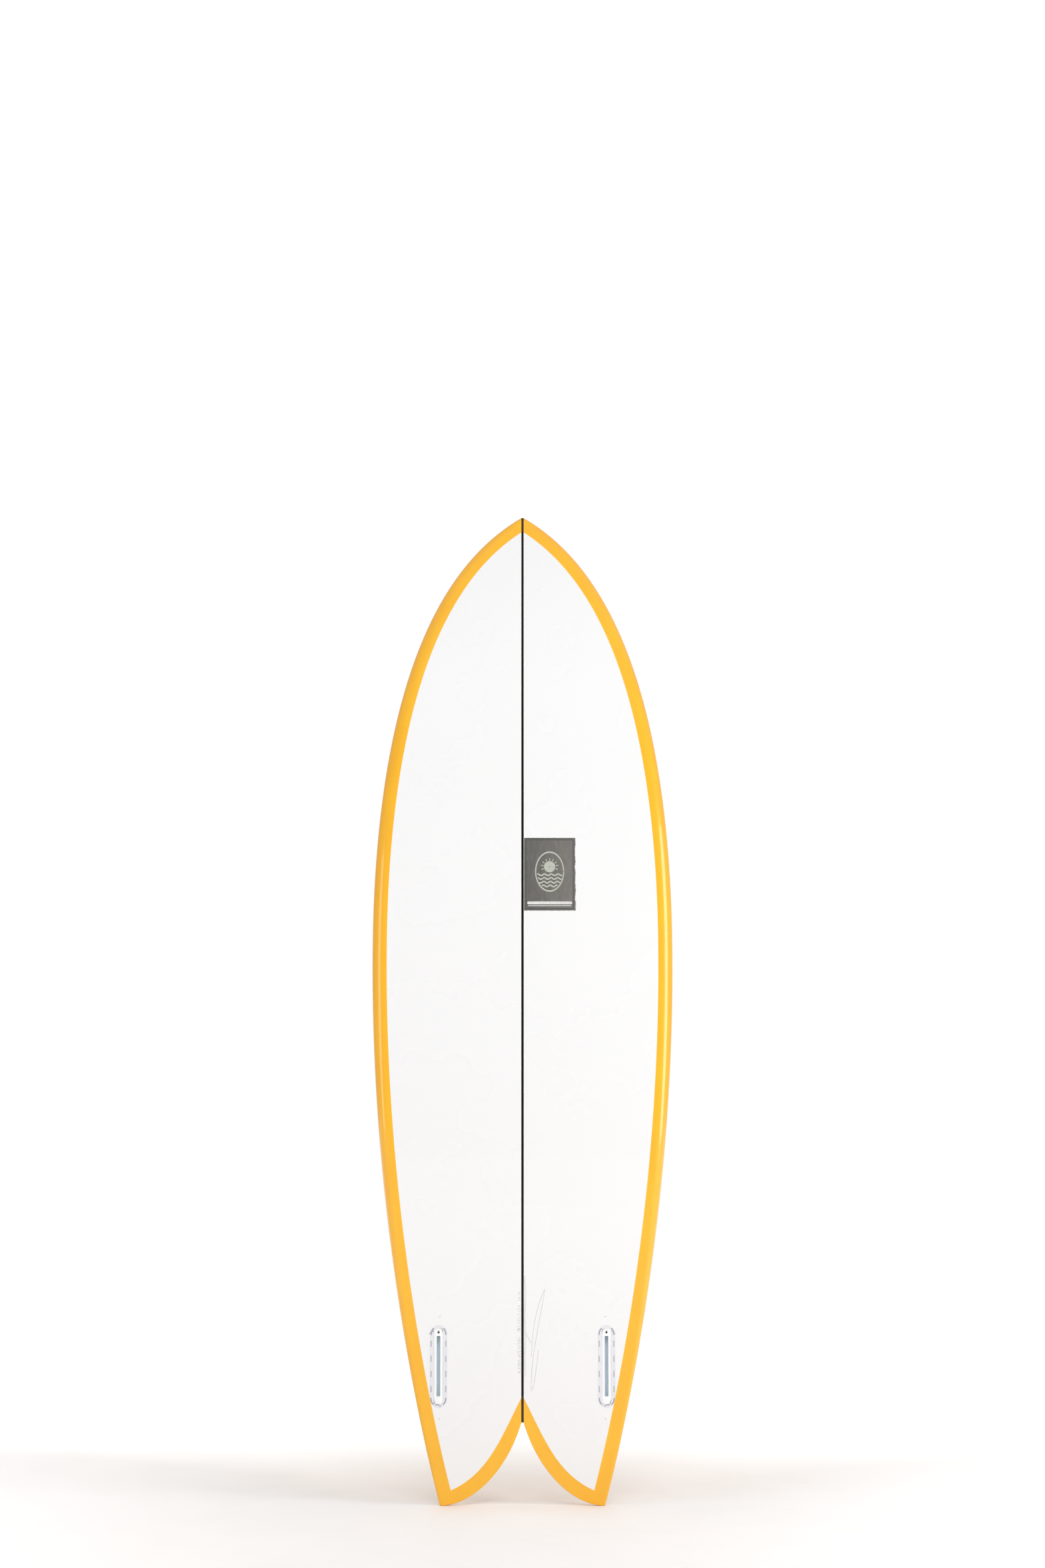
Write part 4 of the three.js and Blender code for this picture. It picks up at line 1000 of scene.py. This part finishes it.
material, shader, paint = finish("cured_resin", Coat_Weight=0.5, Coat_Roughness=0.1)
bubbles = paint.node("TexVoronoi", inputs={"Vector": paint.where(), "Scale": 700.0})
cloud = paint.noise(120.0, 4.0)
paint_on(shader, Base_Color=paint.mix(cloud, RESIN_COLOUR, shaded(RESIN_COLOUR, 0.9)),
         Roughness=0.25 + 0.2 * cloud, Normal=paint.bump(bubbles, 0.2, 0.0002))
repaint(("fin_box_bedding_left", "fin_box_bedding_right", "leash_cup_bedding"), material)


# ---- Label ----
# A woven cloth patch laid on the foam beside the stringer before glassing, its right edge a little frayed.
# It has a darker woven border, and a plain emblem of a sun over waves with a bar below it.
LABEL = (2.8, 98.0, 1064.0, 1200.7)  # its left, right, foot and top
LABEL_PROUD = 0.06
BORDER = (2.6, 2.0)  # its distance in from the edge, and its width
FRAYED_THREADS = 46
OVAL, OVAL_UP = (27.0, 38.0), 73.0  # half its width and height, and its middle from the label's foot
SUN_RADIUS, SUN_UP, RAYS, RAY = 10.5, 9.0, 9, (12.2, 15.6)
WAVES = ((22.3, -6.0), (21.0, -13.0), (18.4, -20.0), (13.8, -27.0))  # half length, and place from the middle
WAVE_HEIGHT, WAVE_BEND, WAVE_SHIFT, WAVE_WIDTH = 1.5, 0.50, 0.35, 2.6
BARS = ((14.4, 5.4), (9.0, 1.4))  # height above the foot, and width
CLOTH = (0.076, 0.073, 0.066)
CLOTH_LIGHT = (0.182, 0.175, 0.158)
CLOTH_BORDER = (0.060, 0.062, 0.055)
PRINT = (0.50, 0.52, 0.45)
PRINT_WHITE = (0.74, 0.74, 0.72)
draw = random.Random(7)

left, right, foot, top = LABEL
across = np.linspace(left, right, 60)
upright = np.linspace(foot, top, 88)
grid = np.stack(np.meshgrid(across, upright, indexing="ij"), axis=-1)
for j in range(len(upright)):
    grid[-1, j, 0] += draw.uniform(-0.5, 0.7) + 0.5 * math.sin(j * 0.33)
    grid[0, j, 0] += draw.uniform(-0.12, 0.12)
for i in range(len(across)):
    grid[i, 0, 1] += draw.uniform(-0.2, 0.25)
    grid[i, -1, 1] += draw.uniform(-0.25, 0.25)
patches = [(grid, 0)]
for _ in range(FRAYED_THREADS):
    at = draw.uniform(foot + 2.0, top - 2.0)
    reach, lean = draw.uniform(0.8, 2.6), draw.uniform(-0.8, 0.8)
    run = np.linspace(0.0, 1.0, 6)
    thread = np.stack([right - 0.6 + reach * run, at + lean * run + 0.35 * np.sin(run * 5.0)], axis=1)
    patches.append((stroke(thread, 0.32, 3), 0))
mesh = inlay("label_cloth", patches, LABEL_PROUD)

material, shader, paint = finish("label_cloth", **UNDER_GLASS)
x, z = paint.along("X"), paint.along("Z")
weave = woven(paint, 330.0, 300.0, Distortion=1.2, Detail=1.0)
slub = paint.ease(paint.noise(160.0, 5.0, (1.0, 1.0, 0.35)), 0.35, 0.72)
from_side, from_end = paint.sum("MINIMUM", x - left, right - x), paint.sum("MINIMUM", z - foot, top - z)
from_edge = paint.sum("MINIMUM", from_side, from_end)
border = paint.ease(from_edge, BORDER[0] - 0.5, BORDER[0])
border = border - paint.ease(from_edge, sum(BORDER), sum(BORDER) + 0.5)
outer = 1.0 - paint.ease(from_edge, 0.2, 1.4)
speck = paint.ease(paint.node("TexVoronoi", inputs={"Vector": paint.where(), "Scale": 210.0}), 0.10, 0.02)
tone = paint.mix(weave * 0.40 + slub * 0.25 + paint.ease(x, left, right) * 0.50, CLOTH, CLOTH_LIGHT)
tone = paint.mix(border * 0.75 + outer * 0.4, tone, CLOTH_BORDER)
tone = paint.mix(speck * 0.35, tone, PRINT)
paint_on(shader, Base_Color=tone, Roughness=0.55 + 0.2 * weave, Normal=paint.bump(weave, 0.25, 0.0002))
label = piece("label_cloth", mesh, [material])
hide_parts("label_patch")

middle = np.array([(left + right) / 2, foot + OVAL_UP])
sun_middle = middle + (0.0, SUN_UP)
ring_turn = np.radians(np.linspace(0.0, 360.0, 97))
ring = np.stack([np.cos(ring_turn), np.sin(ring_turn)], axis=1)
grids = [(middle + ring * OVAL * np.linspace(0.925, 1.0, 3)[:, None, None], 0),
         (sun_middle + SUN_RADIUS * ring * np.linspace(0.0, 1.0, 5)[:, None, None], 0)]
for turn in np.radians(np.linspace(-18.0, 198.0, RAYS)):
    ray = np.array([math.cos(turn), math.sin(turn)])
    grids.append((stroke(sun_middle + np.outer(np.linspace(*RAY, 4), ray), 1.5, 4), 0))
for k, (half, height) in enumerate(WAVES):
    sweep = np.linspace(-half, half, 61)
    wave = np.stack([sweep, height + WAVE_HEIGHT * np.sin(sweep * WAVE_BEND + WAVE_SHIFT * k)], axis=1)
    grids.append((stroke(middle + wave, WAVE_WIDTH, 5), 0))
bar_line = np.linspace(left + 8.5, right - 8.5, 24)
for height, width in BARS:
    grids.append((stroke(np.stack([bar_line, 0.0 * bar_line + foot + height], axis=1), width, 4), 1))
mesh = inlay("label_print", grids, LABEL_PROUD + 0.03)
prints = []
for name, colour in (("printed_emblem", PRINT), ("printed_bar", PRINT_WHITE)):
    material, shader, paint = finish(name, **UNDER_GLASS)
    worn = paint.ease(paint.noise(600.0, 5.0), 0.42, 0.75)
    shade = paint.ease(paint.along("X"), left + 30.0, left + 75.0)
    tone = paint.mix(worn * 0.35, colour, CLOTH_LIGHT)
    tone = paint.mix(shade * 0.2, tone, shaded(colour, 0.7))
    paint_on(shader, Base_Color=tone, Roughness=0.5 + 0.2 * worn)
    prints.append(material)
print_piece = piece("label_print", mesh, prints)


# ---- Pencil marks ----
# The maker's pencil on the foam, under the glass: dots that centre the fins, and light strokes beside the
# stringer. The strokes are plain loops and hatching that stand for handwriting, and spell nothing.
DOTS, DOT_LINE = ((331.5, 1.5), (152.0, 1.1)), 149.0  # height and half length, and how far out
LOOSE_STROKES = (
    ((16.0, 262.0), (17.5, 318.0), (28.0, 356.0), (40.0, 379.0)),
    ((40.0, 379.0), (33.0, 330.0), (14.0, 258.0), (15.5, 203.0)),
    ((15.5, 203.0), (18.0, 192.0), (25.0, 236.0), (28.5, 272.0)),
    ((5.0, 303.0), (8.0, 300.0), (11.0, 292.0), (15.0, 285.0)),
)
HATCHED = (232.0, 378.0)
RUBBED, RUBBED_WIDTH = (228.0, 402.0), 3.4
GRAPHITE = (0.22, 0.215, 0.215)
GRAPHITE_SOFT = (0.40, 0.395, 0.395)
SMUDGE = (0.70, 0.68, 0.68)
draw = random.Random(11)

grids = []
for side in (-1, 1):
    for height, reach in DOTS:
        dot = np.stack([np.linspace(-reach, reach, 4), 0.4 * np.linspace(-1, 1, 4)], axis=1)
        grids.append((stroke(dot + (side * DOT_LINE, height), 1.0, 3), 0))
for controls in LOOSE_STROKES:
    line, _ = curve(controls, np.linspace(0.0, 1.0, 60))
    grids.append((stroke(line, 0.9, 3), 1))
height = HATCHED[0]
while height < HATCHED[1]:
    step = draw.uniform(2.8, 5.0)
    if draw.random() > 0.14:
        slant, reach = draw.uniform(-1.6, 2.4), draw.uniform(3.0, 6.4)
        start = -3.2 - draw.uniform(0.0, 1.2)
        run = np.linspace(0.0, 1.0, 12)
        wiggle = draw.uniform(0.3, 1.3) * np.sin(run * draw.uniform(3.0, 8.0))
        line = np.stack([start - reach * run, height + slant * run + wiggle], axis=1)
        grids.append((stroke(line, 0.8, 3), 0 if draw.random() > 0.5 else 1))
    height += step
rubbed = np.linspace(*RUBBED, 60)
grids.append((stroke(np.stack([4.4 + 0.5 * np.sin(rubbed * 0.09), rubbed], axis=1), RUBBED_WIDTH), 2))
mesh = inlay("pencil", grids, 0.04, 0.2)
graphites = []
for name, colour in (("graphite", GRAPHITE), ("soft_graphite", GRAPHITE_SOFT), ("rubbed_graphite", SMUDGE)):
    material, shader, paint = finish(name, **UNDER_GLASS)
    skip = paint.ease(paint.noise(1500.0, 3.0), 0.40, 0.62)
    paint_on(shader, Base_Color=paint.mix(skip * 0.75, colour, WHITE), Roughness=0.3 + 0.1 * skip)
    graphites.append(material)
piece("pencil_marks", mesh, graphites)
